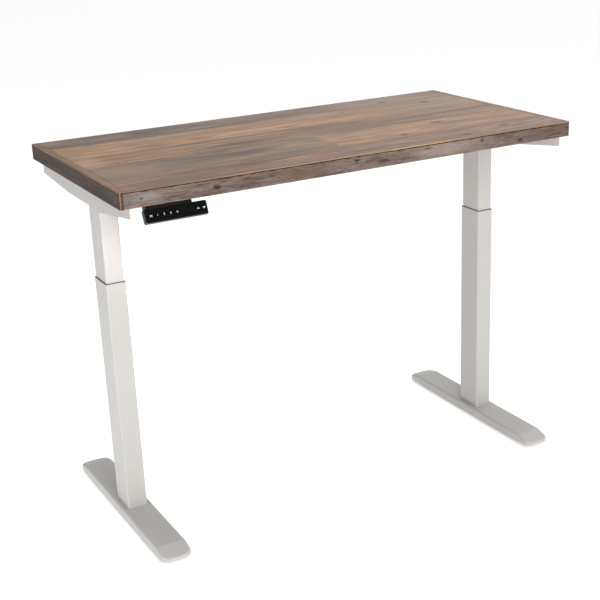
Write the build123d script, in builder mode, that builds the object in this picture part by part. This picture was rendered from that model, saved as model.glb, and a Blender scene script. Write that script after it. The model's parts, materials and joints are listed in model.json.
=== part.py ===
from build123d import *
import math
import os

# A height adjustable standing desk: a plank worktop on two telescopic steel columns.
# Origin on the floor under the middle of the worktop, +X to the user's right,
# +Y away from the user, +Z up. Millimetres. The model stands at its rest height.

# Worktop
top_length = 1219.2
top_depth = 609.6
top_thickness = 38.0
top_height = 912.0
underside = top_height - top_thickness
end_strip_width = 18.0
arris = 2.0
corner_ease = 5.0
plank_widths = {"back": 105.0, "second": 135.0, "middle": 125.0, "fourth": 132.0, "front": 112.6}
butt_joint_x = -9.6

# Columns, one at each end
column_x = 543.7
outer_tube_x = 50.0
outer_tube_y = 80.0
outer_wall = 1.5
inner_tube_x = 45.0
inner_tube_y = 75.0
inner_wall = 1.8
tube_corner = 4.0
slide_gap = 0.15
foot_top = 30.0
outer_tube_top = 627.5
inner_tube_bottom = 222.0
head_bottom = 815.0
base_plate = 6.0
guide_depth = 40.0
base_plate_gap = 2.0
weld_overlap = 0.5
guide_rim = 1.5
guide_rim_inset = 0.5
foot_bolt_dx = 14.0
foot_bolt_y = 28.0

# Feet
foot_width = 76.0
foot_length = 596.0
foot_wall = 3.0
foot_flat_half = 250.0
foot_tip_top = 18.0
foot_skirt = 5.0
foot_tip_skirt = 10.0
foot_skirt_half = 190.0
foot_plan_corner = 22.0
foot_edge = 6.0
leveler_y = 258.0
leveler_pad_radius = 15.0
leveler_pad_height = 7.0
leveler_pad_arris = 1.0
leveler_stud_radius = 4.0
leveler_stud_top = 21.0
leveler_boss_radius = 9.0
leveler_boss_rise = 1.0
stud_end_gap = 1.0
thread_gap = 0.05

# Screw drive inside each column
spindle_radius = 8.0
spindle_bottom = 230.0
journal_radius = 6.0
journal_bottom = 830.0
spindle_top = 860.0
bearing_gap = 0.06
nut_radius = 17.0
nut_bottom = 560.0
nut_height = 40.0
nut_tube_radius = 14.0
nut_tube_wall = 3.0
wheel_radius = 16.0
wheel_height = 16.0
wheel_gap = 2.0
wheel_room_below = 1.0
wheel_room_above = 3.0
worm_radius = 5.6
worm_gap = 1.5
worm_length = 50.0
worm_hole_length = 52.0
worm_offset_y = 22.0
worm_z = 838.0
gearbox_y = 60.0
gearbox_height = 47.0
gearbox_corner = 5.0
gearbox_inset = 4.0
shaft_end_gap = 1.0

# Steel frame under the worktop
sheet = 3.0
bracket_outer_x = 586.0
bracket_inner_x = 512.0
bracket_flange = 30.0
bracket_front = -294.0
bracket_back = 301.0
bracket_deep = 51.0
bracket_front_depth = 25.0
bracket_back_depth = 38.0
bracket_deep_half = 107.0
bracket_front_corner = 4.0
bracket_back_corner = 12.0
head_outer_x = 576.0
head_half_y = 62.0
head_floor = 4.0
head_plate_half_y = 90.0
head_bolt_x = (530.0, 560.0)
head_bolt_y = 76.0
spindle_hole_radius = 12.0
rail_y = 70.0
sleeve_y = 25.0
sleeve_z = 40.0
sleeve_wall = 2.0
sleeve_end_x = 200.0
crossbar_half = 330.0
crossbar_y = 20.0
crossbar_z = 35.0
crossbar_wall = 1.5
end_plate_half_y = 100.0
clamp_bolt_x = (230.0, 300.0)
motor_radius = 24.0
motor_length = 112.0
motor_rise = 5.0
motor_edge = 3.0
motor_gap = 2.0

# Fasteners
wood_screw_radius = 2.0
wood_screw_length = 25.0
wood_screw_head_radius = 4.5
wood_screw_head_height = 3.0
pilot_gap = 0.2
screw_hole_gap = 0.6
frame_bolt_radius = 3.0
frame_bolt_head_radius = 5.0
frame_bolt_head_height = 4.0
frame_bolt_length = 5.5
foot_bolt_radius = 4.0
foot_bolt_head_radius = 6.5
foot_bolt_head_height = 5.0
foot_bolt_length = 11.0
hole_gap = 0.2

# Control box under the back of the worktop
control_half_x = 110.0
control_y = (120.0, 230.0)
control_depth = 36.0
control_wall = 2.5
control_corner = 6.0
control_inner_corner = 4.0
control_lug = 16.0
control_lug_inset = 10.0
board_thickness = 1.6
board_gap_x = 3.5
board_gap_y = 2.0
socket_rise = 14.0
socket_x = (-60.0, -20.0, 20.0)
socket_hole = (16.0, 10.0)
socket_body = (20.0, 14.0)
socket_body_inset = 9.0
socket_body_height = 14.0
inlet_x = 60.0
inlet_hole = (27.0, 12.0)
inlet_body = (31.0, 16.0)
inlet_body_inset = 10.0
capacitors = ((-50.0, 185.0), (5.0, 185.0))
capacitor_radius = 11.0
capacitor_height = 20.0

# Keypad under the front edge, left of centre; its face leans back at the top
keypad_x = -480.0
keypad_y = -296.0
keypad_z = 849.3
keypad_width = 146.0
keypad_face = 31.7
keypad_tilt = 22.2
keypad_corner = 4.0
bezel_thickness = 2.5
keypad_depth = 14.0
keypad_wall = 2.0
keypad_mount_x = -494.0
keypad_mount_width = 108.0
keypad_tab_back = -246.0
keypad_tab_front = -282.0
keypad_hanger = ((0.0, 0.0), (-6.0, -9.0), (-4.0, -22.0), (10.0, -22.0), (14.0, 0.0))
keypad_posts = (-66.0, -6.0, 40.0)
keypad_post_radius = 2.5
key_radius = 5.5
key_gap = 0.3
key_proud = 0.3
key_flange_radius = 6.5
key_flange_thickness = 1.0
key_stem_radius = 2.0
key_travel = 0.8
key_overtravel = 0.5
keypad_board_depth = 8.1
keypad_board_gap_x = 2.0
keypad_board_gap_y = 1.5
key_offsets = {
    "memory": -59.0,
    "one": -43.5,
    "two": -28.5,
    "three": -13.5,
    "four": 1.5,
    "up": 50.0,
    "down": 64.0,
}
display_width = 30.0
display_height = 15.0
display_x = 25.5
display_thickness = 1.2

sides = {"left": -1, "right": 1}
flange_screw_y = (-275.0, -225.0, -150.0, 150.0, 225.0, 275.0)
control_screws = [(x, y) for x in (-118.0, 118.0) for y in (142.0, 210.0)]
keypad_screws = [(keypad_mount_x + dx, -258.0) for dx in (-35.0, 35.0)]
flange_screw_x = bracket_outer_x - bracket_flange / 2
flange_screws = [(s * flange_screw_x, y) for s in sides.values() for y in flange_screw_y]
wood_screw_places = flange_screws + control_screws + keypad_screws


def keep(builder, node):
    """Label the finished piece and write it to its own file."""
    builder.part.label = node
    export_step(builder.part, f"parts/{node}.step")


def inside(point, low_x, high_x, low_y, high_y):
    """True when a plan point lies within a rectangle."""
    return low_x < point[0] < high_x and low_y < point[1] < high_y


def make_plank(node, low_x, high_x, low_y, high_y):
    """A worktop plank with pilot holes underneath; its outer long arrises are eased."""
    with BuildPart() as plank:
        with BuildSketch(Plane.XY.offset(underside)):
            with Locations(((low_x + high_x) / 2, (low_y + high_y) / 2)):
                Rectangle(high_x - low_x, high_y - low_y)
        extrude(amount=top_thickness)
        long_edges = plank.edges().filter_by(Axis.X)
        if math.isclose(high_y, top_depth / 2):
            chamfer(long_edges.group_by(Axis.Y)[-1], arris)
        if math.isclose(low_y, -top_depth / 2):
            chamfer(long_edges.group_by(Axis.Y)[0], arris)
        places = [p for p in wood_screw_places if inside(p, low_x, high_x, low_y, high_y)]
        if places:
            with BuildSketch(Plane.XY.offset(underside)):
                with Locations(*places):
                    Circle(wood_screw_radius + pilot_gap)
            extrude(amount=wood_screw_length, mode=Mode.SUBTRACT)
    keep(plank, node)


def make_end_strip(node, side):
    """A strip glued across the plank ends, with eased corners and arrises."""
    with BuildPart() as strip:
        with BuildSketch(Plane.XY.offset(underside)):
            with Locations((side * (top_length - end_strip_width) / 2, 0)):
                Rectangle(end_strip_width, top_depth)
        extrude(amount=top_thickness)
        outer = strip.edges().filter_by(Axis.Z).group_by(Axis.X)
        fillet(outer[-1] if side > 0 else outer[0], corner_ease)
        rim = strip.edges().filter_by(Axis.Y).group_by(Axis.X)
        chamfer(rim[-1] if side > 0 else rim[0], arris)
    keep(strip, node)


def make_worktop():
    """Five rows of planks between two end strips; the fourth row is two boards end to end."""
    low_x = end_strip_width - top_length / 2
    high_x = -low_x
    high_y = top_depth / 2
    for row, width in plank_widths.items():
        low_y = high_y - width
        if row == "fourth":
            make_plank("top_board_fourth_left", low_x, butt_joint_x, low_y, high_y)
            make_plank("top_board_fourth_right", butt_joint_x, high_x, low_y, high_y)
        else:
            make_plank(f"top_board_{row}", low_x, high_x, low_y, high_y)
        high_y = low_y
    for name, side in sides.items():
        make_end_strip(f"end_strip_{name}", side)


def make_screws(node, places, seat, shank_radius, shank_length, head_radius, head_height):
    """A group of pan-head screws pointing up, one at each plan place; the heads seat at seat."""
    with BuildPart() as screws:
        for x, y, z in [(p[0], p[1], seat(p)) for p in places]:
            with BuildSketch(Plane.XY.offset(z)):
                with Locations((x, y)):
                    Circle(head_radius)
            extrude(amount=-head_height)
            with BuildSketch(Plane.XY.offset(z)):
                with Locations((x, y)):
                    Circle(shank_radius)
            extrude(amount=shank_length)
    keep(screws, node)


def make_side_bracket(node, side):
    """A folded steel bracket: a deep web outside and a flange on top, wider over the column."""
    web_outer = side * bracket_outer_x
    deep = underside - bracket_deep
    front_low = underside - bracket_front_depth
    back_low = underside - bracket_back_depth
    with BuildPart() as bracket:
        with BuildSketch(Plane.YZ.offset(web_outer)) as profile:
            with BuildLine():
                Polyline(
                    (bracket_front, underside),
                    (bracket_front, front_low),
                    (-bracket_deep_half, deep),
                    (bracket_deep_half, deep),
                    (bracket_back, back_low),
                    (bracket_back, underside),
                    close=True,
                )
            make_face()
            tips = profile.vertices().group_by(Axis.Y)
            fillet(tips[0].sort_by(Axis.Z)[0], bracket_front_corner)
            tips = profile.vertices().group_by(Axis.Y)
            fillet(tips[-1].sort_by(Axis.Z)[0], bracket_back_corner)
        extrude(amount=-side * sheet)
        with BuildSketch(Plane.XY.offset(underside)):
            with Locations((side * flange_screw_x, (bracket_front + bracket_back) / 2)):
                Rectangle(bracket_flange, bracket_back - bracket_front)
            with Locations((side * (bracket_outer_x + bracket_inner_x) / 2, 0)):
                Rectangle(bracket_outer_x - bracket_inner_x, 2 * bracket_deep_half)
        extrude(amount=-sheet)
        with BuildSketch(Plane.XY.offset(underside)):
            with Locations(*[(side * flange_screw_x, y) for y in flange_screw_y]):
                Circle(wood_screw_radius + screw_hole_gap)
            with Locations(*head_bolt_places(side)):
                Circle(frame_bolt_radius + hole_gap)
        extrude(amount=-sheet, mode=Mode.SUBTRACT)
    keep(bracket, node)


def head_bolt_places(side):
    """Plan places of the bolts that hang a column head from its bracket."""
    return [(side * x, y) for x in head_bolt_x for y in (-head_bolt_y, head_bolt_y)]


def make_column_head(node, side):
    """A folded steel box at the top of a column, open towards the middle of the desk."""
    top = underside - sheet
    centre_x = side * (head_outer_x + bracket_inner_x) / 2
    width = head_outer_x - bracket_inner_x
    with BuildPart() as head:
        with BuildSketch(Plane.XY.offset(head_bottom)):
            with Locations((centre_x, 0)):
                Rectangle(width, 2 * head_half_y)
        extrude(amount=top - head_bottom)
        with BuildSketch(Plane.XY.offset(head_bottom + head_floor)):
            with Locations((centre_x - side * sheet, 0)):
                Rectangle(width, 2 * (head_half_y - sheet))
        extrude(amount=top - head_bottom - head_floor - sheet, mode=Mode.SUBTRACT)
        with BuildSketch(Plane.XY.offset(top)):
            with Locations((centre_x, 0)):
                Rectangle(width, 2 * head_plate_half_y)
        extrude(amount=-sheet)
        with BuildSketch(Plane.XY.offset(top)):
            with Locations(*head_bolt_places(side)):
                Circle(frame_bolt_radius + hole_gap)
        extrude(amount=-sheet, mode=Mode.SUBTRACT)
        with BuildSketch(Plane.XY.offset(head_bottom)):
            with Locations((side * column_x, 0)):
                Circle(spindle_hole_radius)
        extrude(amount=head_floor, mode=Mode.SUBTRACT)
    keep(head, node)


def make_rail_frame(node, side):
    """Two rail sleeves welded to a cross plate that meets the column head."""
    plate_x = side * bracket_inner_x
    top = underside - sheet
    with BuildPart() as rails:
        with BuildSketch(Plane.YZ.offset(plate_x)):
            with Locations((0, top - (bracket_deep - sheet) / 2)):
                Rectangle(2 * end_plate_half_y, bracket_deep - sheet)
        extrude(amount=-side * sheet)
        with BuildSketch(Plane.YZ.offset(plate_x)):
            with Locations((worm_offset_y, worm_z + motor_rise)):
                Circle(motor_radius + motor_gap)
        extrude(amount=-side * sheet, mode=Mode.SUBTRACT)
        with BuildSketch(Plane.YZ.offset(plate_x - side * sheet)):
            with Locations((-rail_y, top - sleeve_z / 2), (rail_y, top - sleeve_z / 2)):
                Rectangle(sleeve_y, sleeve_z)
                Rectangle(sleeve_y - 2 * sleeve_wall, sleeve_z - 2 * sleeve_wall, mode=Mode.SUBTRACT)
        extrude(amount=-side * (bracket_inner_x - sheet - sleeve_end_x))
        with BuildSketch(Plane.XY.offset(top - sleeve_z)):
            with Locations(*clamp_bolt_places(side)):
                Circle(frame_bolt_radius + hole_gap)
        extrude(amount=sleeve_wall, mode=Mode.SUBTRACT)
    keep(rails, node)


def clamp_bolt_places(side):
    """Plan places of the bolts that clamp the crossbars in their sleeves."""
    return [(side * x, y) for x in clamp_bolt_x for y in (-rail_y, rail_y)]


def make_crossbar(node, y):
    """A rectangular steel tube that slides in the sleeves and joins the two columns."""
    bottom = underside - sheet - sleeve_z + sleeve_wall
    with BuildPart() as bar:
        with BuildSketch(Plane.YZ.offset(-crossbar_half)):
            with Locations((y, bottom + crossbar_z / 2)):
                Rectangle(crossbar_y, crossbar_z)
                inner_z = crossbar_z - 2 * crossbar_wall
                Rectangle(crossbar_y - 2 * crossbar_wall, inner_z, mode=Mode.SUBTRACT)
        extrude(amount=2 * crossbar_half)
        places = [p for s in sides.values() for p in clamp_bolt_places(s) if p[1] == y]
        with BuildSketch(Plane.XY.offset(bottom)):
            with Locations(*places):
                Circle(frame_bolt_radius + thread_gap)
        extrude(amount=crossbar_wall, mode=Mode.SUBTRACT)
    keep(bar, node)


def make_column_tube(node, side, size_x, size_y, wall, low, high, with_base):
    """A rectangular column tube; the outer one has a base plate welded in its foot end."""
    with BuildPart() as tube:
        with BuildSketch(Plane.XY.offset(low)):
            with Locations((side * column_x, 0)):
                RectangleRounded(size_x, size_y, tube_corner)
                inner = tube_corner - wall
                RectangleRounded(size_x - 2 * wall, size_y - 2 * wall, inner, mode=Mode.SUBTRACT)
        extrude(amount=high - low)
        if with_base:
            with BuildSketch(Plane.XY.offset(low)):
                with Locations((side * column_x, 0)):
                    plate_x = size_x - 2 * (wall - weld_overlap)
                    Rectangle(plate_x, size_y - 2 * (wall + base_plate_gap))
            extrude(amount=base_plate)
            with BuildSketch(Plane.XY.offset(low)):
                with Locations(*foot_bolt_places(side)):
                    Circle(foot_bolt_radius + thread_gap)
            extrude(amount=base_plate, mode=Mode.SUBTRACT)
    keep(tube, node)


def foot_bolt_places(side):
    """Plan places of the bolts that hold a column to its foot."""
    dx = foot_bolt_dx
    return [(side * column_x + x, y) for x in (-dx, dx) for y in (-foot_bolt_y, foot_bolt_y)]


def make_guide(node, side, low, high, outer_x, outer_y, inner_x, inner_y, outer_r, inner_r, rim):
    """A thin plastic sleeve between the two tubes, with an optional rim on top."""
    with BuildPart() as guide:
        with BuildSketch(Plane.XY.offset(low)):
            with Locations((side * column_x, 0)):
                RectangleRounded(outer_x, outer_y, outer_r)
                RectangleRounded(inner_x, inner_y, inner_r, mode=Mode.SUBTRACT)
        extrude(amount=high - low)
        if rim:
            with BuildSketch(Plane.XY.offset(high)):
                with Locations((side * column_x, 0)):
                    rim_x = outer_tube_x - 2 * guide_rim_inset
                    rim_y = outer_tube_y - 2 * guide_rim_inset
                    RectangleRounded(rim_x, rim_y, tube_corner - guide_rim_inset)
                    RectangleRounded(inner_x, inner_y, inner_r, mode=Mode.SUBTRACT)
            extrude(amount=guide_rim)
    keep(guide, node)


def make_foot_blank(x, inset, low):
    """A foot's solid form: flat in the middle, its top sloping down to rounded tips.

    inset makes the smaller form of the hollow; low lifts or drops the skirt.
    """
    half = foot_length / 2 - inset
    width = foot_width - 2 * inset
    with BuildPart() as blank:
        with BuildSketch(Plane.YZ.offset(x - width / 2)):
            with BuildLine():
                Polyline(
                    (-half, foot_tip_top - inset),
                    (-foot_flat_half, foot_top - inset),
                    (foot_flat_half, foot_top - inset),
                    (half, foot_tip_top - inset),
                    (half, foot_tip_skirt - low),
                    (foot_skirt_half, foot_skirt - low),
                    (-foot_skirt_half, foot_skirt - low),
                    (-half, foot_tip_skirt - low),
                    close=True,
                )
            make_face()
        extrude(amount=width)
        with BuildSketch(Plane.XY.offset(-foot_top)):
            with Locations((x, 0)):
                RectangleRounded(width, 2 * half, foot_plan_corner - inset)
        extrude(amount=3 * foot_top, mode=Mode.INTERSECT)
    return blank.part


def make_foot(node, side):
    """A pressed steel foot, hollow below, with a threaded boss near each tip."""
    x = side * column_x
    slope = (foot_top - foot_tip_top) / (foot_length / 2 - foot_flat_half)
    boss_end = leveler_y + leveler_boss_radius
    boss_top = foot_top - slope * (boss_end - foot_flat_half) - leveler_boss_rise
    hollow = make_foot_blank(x, foot_wall, foot_tip_skirt)
    with BuildPart() as foot:
        add(make_foot_blank(x, 0, 0))
        upper = foot.faces().filter_by(lambda f: f.normal_at().Z > 0.5)
        rim = [e for e in upper.edges() if e not in shared_edges(upper)]
        fillet(rim, foot_edge)
        add(hollow, mode=Mode.SUBTRACT)
        for end in (-1, 1):
            with BuildSketch(Plane.XY.offset(leveler_pad_height)):
                with Locations((x, end * leveler_y)):
                    Circle(leveler_boss_radius)
            extrude(amount=boss_top - leveler_pad_height)
            with BuildSketch(Plane.XY.offset(leveler_pad_height)):
                with Locations((x, end * leveler_y)):
                    Circle(leveler_stud_radius + thread_gap)
            extrude(amount=leveler_stud_top + stud_end_gap - leveler_pad_height, mode=Mode.SUBTRACT)
        with BuildSketch(Plane.XY.offset(foot_top)):
            with Locations(*foot_bolt_places(side)):
                Circle(foot_bolt_radius + hole_gap)
        extrude(amount=-foot_wall, mode=Mode.SUBTRACT)
    keep(foot, node)


def shared_edges(faces):
    """Edges that two of the given faces have in common."""
    found = []
    for i, first in enumerate(faces):
        for second in faces[i + 1:]:
            found += [e for e in first.edges() if e in second.edges()]
    return found


def make_leveler(node, side, end):
    """A levelling foot: a plastic pad moulded on a threaded stud."""
    with BuildPart() as leveler:
        with BuildSketch(Plane.XY):
            with Locations((side * column_x, end * leveler_y)):
                Circle(leveler_pad_radius)
        extrude(amount=leveler_pad_height)
        chamfer(leveler.edges().filter_by(GeomType.CIRCLE), leveler_pad_arris)
        with BuildSketch(Plane.XY.offset(leveler_pad_height)):
            with Locations((side * column_x, end * leveler_y)):
                Circle(leveler_stud_radius)
        extrude(amount=leveler_stud_top - leveler_pad_height)
    keep(leveler, node)


def make_spindle(node, side):
    """A lifting screw with a journal at its top for the wheel and the bearing."""
    with BuildPart() as spindle:
        with BuildSketch(Plane.XY.offset(spindle_bottom)):
            with Locations((side * column_x, 0)):
                Circle(spindle_radius)
        extrude(amount=journal_bottom - spindle_bottom)
        with BuildSketch(Plane.XY.offset(journal_bottom)):
            with Locations((side * column_x, 0)):
                Circle(journal_radius)
        extrude(amount=spindle_top - journal_bottom)
    keep(spindle, node)


def make_ring(node, side, low, height, outer, inner):
    """A plain round sleeve on the column's axis."""
    with BuildPart() as ring:
        with BuildSketch(Plane.XY.offset(low)):
            with Locations((side * column_x, 0)):
                Circle(outer)
                Circle(inner, mode=Mode.SUBTRACT)
        extrude(amount=height)
    keep(ring, node)


def make_nut_tube(node, side):
    """A steel tube that stands on the base plate and carries the nut."""
    low = foot_top + base_plate
    make_ring(node, side, low, nut_bottom - low, nut_tube_radius, nut_tube_radius - nut_tube_wall)


def make_gearbox(node, side):
    """A worm gear housing in the column head, open to the motor."""
    low = head_bottom + head_floor
    inner_face = bracket_inner_x + gearbox_inset
    with BuildPart() as gearbox:
        with BuildSketch(Plane.XY.offset(low)):
            with Locations((side * column_x, worm_offset_y / 2)):
                RectangleRounded(2 * (column_x - inner_face), gearbox_y, gearbox_corner)
        extrude(amount=gearbox_height)
        with BuildSketch(Plane.XY.offset(journal_bottom - wheel_room_below)):
            with Locations((side * column_x, 0)):
                Circle(wheel_radius + wheel_gap)
        extrude(amount=wheel_room_below + wheel_height + wheel_room_above, mode=Mode.SUBTRACT)
        with BuildSketch(Plane.XY.offset(low)):
            with Locations((side * column_x, 0)):
                Circle(spindle_radius + bearing_gap)
        extrude(amount=journal_bottom - low, mode=Mode.SUBTRACT)
        with BuildSketch(Plane.XY.offset(journal_bottom)):
            with Locations((side * column_x, 0)):
                Circle(journal_radius + bearing_gap)
        extrude(amount=spindle_top + shaft_end_gap - journal_bottom, mode=Mode.SUBTRACT)
        with BuildSketch(Plane.YZ.offset(side * inner_face)):
            with Locations((worm_offset_y, worm_z)):
                Circle(worm_radius + worm_gap)
        extrude(amount=side * worm_hole_length, mode=Mode.SUBTRACT)
    keep(gearbox, node)


def make_motor(node, side):
    """A tubular motor beside the column, with its worm shaft in the gearbox."""
    inner_face = side * (bracket_inner_x + gearbox_inset)
    with BuildPart() as motor:
        with BuildSketch(Plane.YZ.offset(inner_face)):
            with Locations((worm_offset_y, worm_z + motor_rise)):
                Circle(motor_radius)
        extrude(amount=-side * motor_length)
        ends = motor.edges().filter_by(GeomType.CIRCLE).sort_by(Axis.X)
        fillet(ends[0] if side > 0 else ends[-1], motor_edge)
        with BuildSketch(Plane.YZ.offset(inner_face)):
            with Locations((worm_offset_y, worm_z)):
                Circle(worm_radius)
        extrude(amount=side * worm_length)
    keep(motor, node)


def make_column(name, side):
    """Everything that belongs to one telescopic leg and its foot."""
    inner_x = outer_tube_x - 2 * outer_wall
    inner_y = outer_tube_y - 2 * outer_wall
    make_column_head(f"column_head_{name}", side)
    make_column_tube(
        f"upper_tube_{name}", side, inner_tube_x, inner_tube_y, inner_wall,
        inner_tube_bottom, head_bottom, False,
    )
    make_column_tube(
        f"lower_tube_{name}", side, outer_tube_x, outer_tube_y, outer_wall,
        foot_top, outer_tube_top, True,
    )
    make_guide(
        f"guide_bush_{name}", side, outer_tube_top - guide_depth, outer_tube_top, inner_x, inner_y,
        inner_tube_x + 2 * slide_gap, inner_tube_y + 2 * slide_gap,
        tube_corner - outer_wall, tube_corner + slide_gap, True,
    )
    make_guide(
        f"slide_pads_{name}", side, inner_tube_bottom, inner_tube_bottom + guide_depth,
        inner_x - 2 * slide_gap, inner_y - 2 * slide_gap, inner_tube_x, inner_tube_y,
        tube_corner - outer_wall, tube_corner, False,
    )
    make_gearbox(f"gearbox_{name}", side)
    make_motor(f"motor_{name}", side)
    make_ring(f"worm_wheel_{name}", side, journal_bottom, wheel_height, wheel_radius, journal_radius)
    make_spindle(f"spindle_{name}", side)
    make_nut_tube(f"nut_tube_{name}", side)
    make_ring(f"spindle_nut_{name}", side, nut_bottom, nut_height, nut_radius, spindle_radius + bearing_gap)
    make_foot(f"foot_{name}", side)
    make_screws(
        f"foot_bolts_{name}", foot_bolt_places(side), lambda p: foot_top - foot_wall, foot_bolt_radius,
        foot_bolt_length, foot_bolt_head_radius, foot_bolt_head_height,
    )
    make_leveler(f"leveler_front_{name}", side, -1)
    make_leveler(f"leveler_back_{name}", side, 1)


def make_control_case():
    """The control box's case: a shell with side lugs, sockets at the front and a power inlet behind."""
    middle_y = sum(control_y) / 2
    length_y = control_y[1] - control_y[0]
    socket_z = underside - control_depth + socket_rise
    with BuildPart() as case:
        with BuildSketch(Plane.XY.offset(underside)):
            with Locations((0, middle_y)):
                RectangleRounded(2 * control_half_x, length_y, control_corner)
        extrude(amount=control_wall - control_depth)
        with BuildSketch(Plane.XY.offset(underside - control_wall)):
            with Locations((0, middle_y)):
                inner_x = 2 * (control_half_x - control_wall)
                RectangleRounded(inner_x, length_y - 2 * control_wall, control_inner_corner)
        extrude(amount=2 * control_wall - control_depth, mode=Mode.SUBTRACT)
        with BuildSketch(Plane.XY.offset(underside)):
            with Locations((0, middle_y)):
                Rectangle(2 * (control_half_x + control_lug), length_y - 2 * control_lug_inset)
        extrude(amount=-sheet)
        with BuildSketch(Plane.XY.offset(underside)):
            with Locations(*control_screws):
                Circle(wood_screw_radius + screw_hole_gap)
        extrude(amount=-sheet, mode=Mode.SUBTRACT)
        with BuildSketch(Plane.XZ.offset(-control_y[0])):
            with Locations(*[(x, socket_z) for x in socket_x]):
                Rectangle(*socket_hole)
        extrude(amount=-control_wall, mode=Mode.SUBTRACT)
        with BuildSketch(Plane.XZ.offset(-control_y[1])):
            with Locations((inlet_x, socket_z)):
                Rectangle(*inlet_hole)
        extrude(amount=control_wall, mode=Mode.SUBTRACT)
    keep(case, "control_case")


def make_control_lid():
    """The flat cover that closes the control box from below."""
    with BuildPart() as lid:
        with BuildSketch(Plane.XY.offset(underside - control_depth)):
            with Locations((0, sum(control_y) / 2)):
                RectangleRounded(2 * control_half_x, control_y[1] - control_y[0], control_corner)
        extrude(amount=control_wall)
    keep(lid, "control_lid")


def make_control_board():
    """The circuit board that rests on the lid, with its sockets and two large components."""
    low = underside - control_depth + control_wall
    front = control_y[0] + control_wall
    back = control_y[1] - control_wall
    with BuildPart() as board:
        with BuildSketch(Plane.XY.offset(low)):
            with Locations((0, sum(control_y) / 2)):
                inner_x = 2 * (control_half_x - control_wall)
                Rectangle(inner_x - 2 * board_gap_x, back - front - 2 * board_gap_y)
        extrude(amount=board_thickness)
        with BuildSketch(Plane.XY.offset(low + board_thickness)):
            with Locations(*[(x, front + socket_body_inset) for x in socket_x]):
                Rectangle(*socket_body)
            with Locations((inlet_x, back - inlet_body_inset)):
                Rectangle(*inlet_body)
        extrude(amount=socket_body_height)
        with BuildSketch(Plane.XY.offset(low + board_thickness)):
            with Locations(*capacitors):
                Circle(capacitor_radius)
        extrude(amount=capacitor_height)
    keep(board, "control_board")


def keypad_plane(depth):
    """A plane parallel to the keypad's face, depth behind it, X along the face."""
    lean = math.radians(keypad_tilt)
    out = (0, -math.cos(lean), math.sin(lean))
    origin = (keypad_x, keypad_y - depth * out[1], keypad_z - depth * out[2])
    return Plane(origin=origin, x_dir=(1, 0, 0), z_dir=out)


def make_keypad_bezel():
    """The keypad's front plate, with a hole for each key and a pocket for the display."""
    with BuildPart() as bezel:
        with BuildSketch(keypad_plane(0)):
            RectangleRounded(keypad_width, keypad_face, keypad_corner)
        extrude(amount=-bezel_thickness)
        with BuildSketch(keypad_plane(0)):
            with Locations(*[(x, 0) for x in key_offsets.values()]):
                Circle(key_radius + key_gap)
        extrude(amount=-bezel_thickness, mode=Mode.SUBTRACT)
        with BuildSketch(keypad_plane(0)):
            with Locations((display_x, 0)):
                Rectangle(display_width, display_height)
        extrude(amount=-display_thickness, mode=Mode.SUBTRACT)
    keep(bezel, "keypad_bezel")


def make_keypad_display():
    """The smoked display window, flush with the bezel."""
    with BuildPart() as display:
        with BuildSketch(keypad_plane(0)):
            with Locations((display_x, 0)):
                Rectangle(display_width, display_height)
        extrude(amount=-display_thickness)
    keep(display, "keypad_display")


def make_keypad_housing():
    """The keypad's back shell and the block and tab that hang it from the worktop."""
    with BuildPart() as housing:
        with BuildSketch(keypad_plane(bezel_thickness)):
            RectangleRounded(keypad_width, keypad_face, keypad_corner)
        extrude(amount=bezel_thickness - keypad_depth)
        with BuildSketch(Plane.XY.offset(underside)):
            with Locations((keypad_mount_x, (keypad_tab_back + keypad_tab_front) / 2)):
                Rectangle(keypad_mount_width, keypad_tab_back - keypad_tab_front)
        extrude(amount=-sheet)
        with BuildSketch(Plane.YZ.offset(keypad_mount_x - keypad_mount_width / 2)):
            with BuildLine():
                hanger = [(keypad_tab_front + y, underside + z) for y, z in keypad_hanger]
                Polyline(*hanger, close=True)
            make_face()
        extrude(amount=keypad_mount_width)
        with BuildSketch(keypad_plane(bezel_thickness)):
            inner_width = keypad_width - 2 * keypad_wall
            inner_face = keypad_face - 2 * keypad_wall
            RectangleRounded(inner_width, inner_face, keypad_corner - keypad_wall)
        extrude(amount=bezel_thickness - keypad_depth + keypad_wall, mode=Mode.SUBTRACT)
        with BuildSketch(keypad_plane(keypad_depth - keypad_wall)):
            with Locations(*[(x, 0) for x in keypad_posts]):
                Circle(keypad_post_radius)
        extrude(amount=keypad_depth - keypad_wall - keypad_board_depth)
        with BuildSketch(Plane.XY.offset(underside)):
            with Locations(*keypad_screws):
                Circle(wood_screw_radius + screw_hole_gap)
        extrude(amount=-sheet, mode=Mode.SUBTRACT)
    keep(housing, "keypad_housing")


def make_keypad_board():
    """The keypad's circuit board, held on three posts behind the keys."""
    with BuildPart() as board:
        with BuildSketch(keypad_plane(keypad_board_depth)):
            board_width = keypad_width - 2 * (keypad_wall + keypad_board_gap_x)
            Rectangle(board_width, keypad_face - 2 * (keypad_wall + keypad_board_gap_y))
        extrude(amount=board_thickness)
    keep(board, "keypad_board")


def make_key(name, offset):
    """A round key with a retaining flange and a short stem."""
    flange_depth = bezel_thickness + key_gap
    stem_end = keypad_board_depth - board_thickness - key_travel - key_overtravel
    with BuildPart() as key:
        with BuildSketch(keypad_plane(-key_proud)):
            with Locations((offset, 0)):
                Circle(key_radius)
        extrude(amount=-key_proud - flange_depth)
        with BuildSketch(keypad_plane(flange_depth)):
            with Locations((offset, 0)):
                Circle(key_flange_radius)
        extrude(amount=-key_flange_thickness)
        stem_start = flange_depth + key_flange_thickness
        with BuildSketch(keypad_plane(stem_start)):
            with Locations((offset, 0)):
                Circle(key_stem_radius)
        extrude(amount=stem_start - stem_end)
    keep(key, f"key_{name}")


os.makedirs("parts", exist_ok=True)

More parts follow.
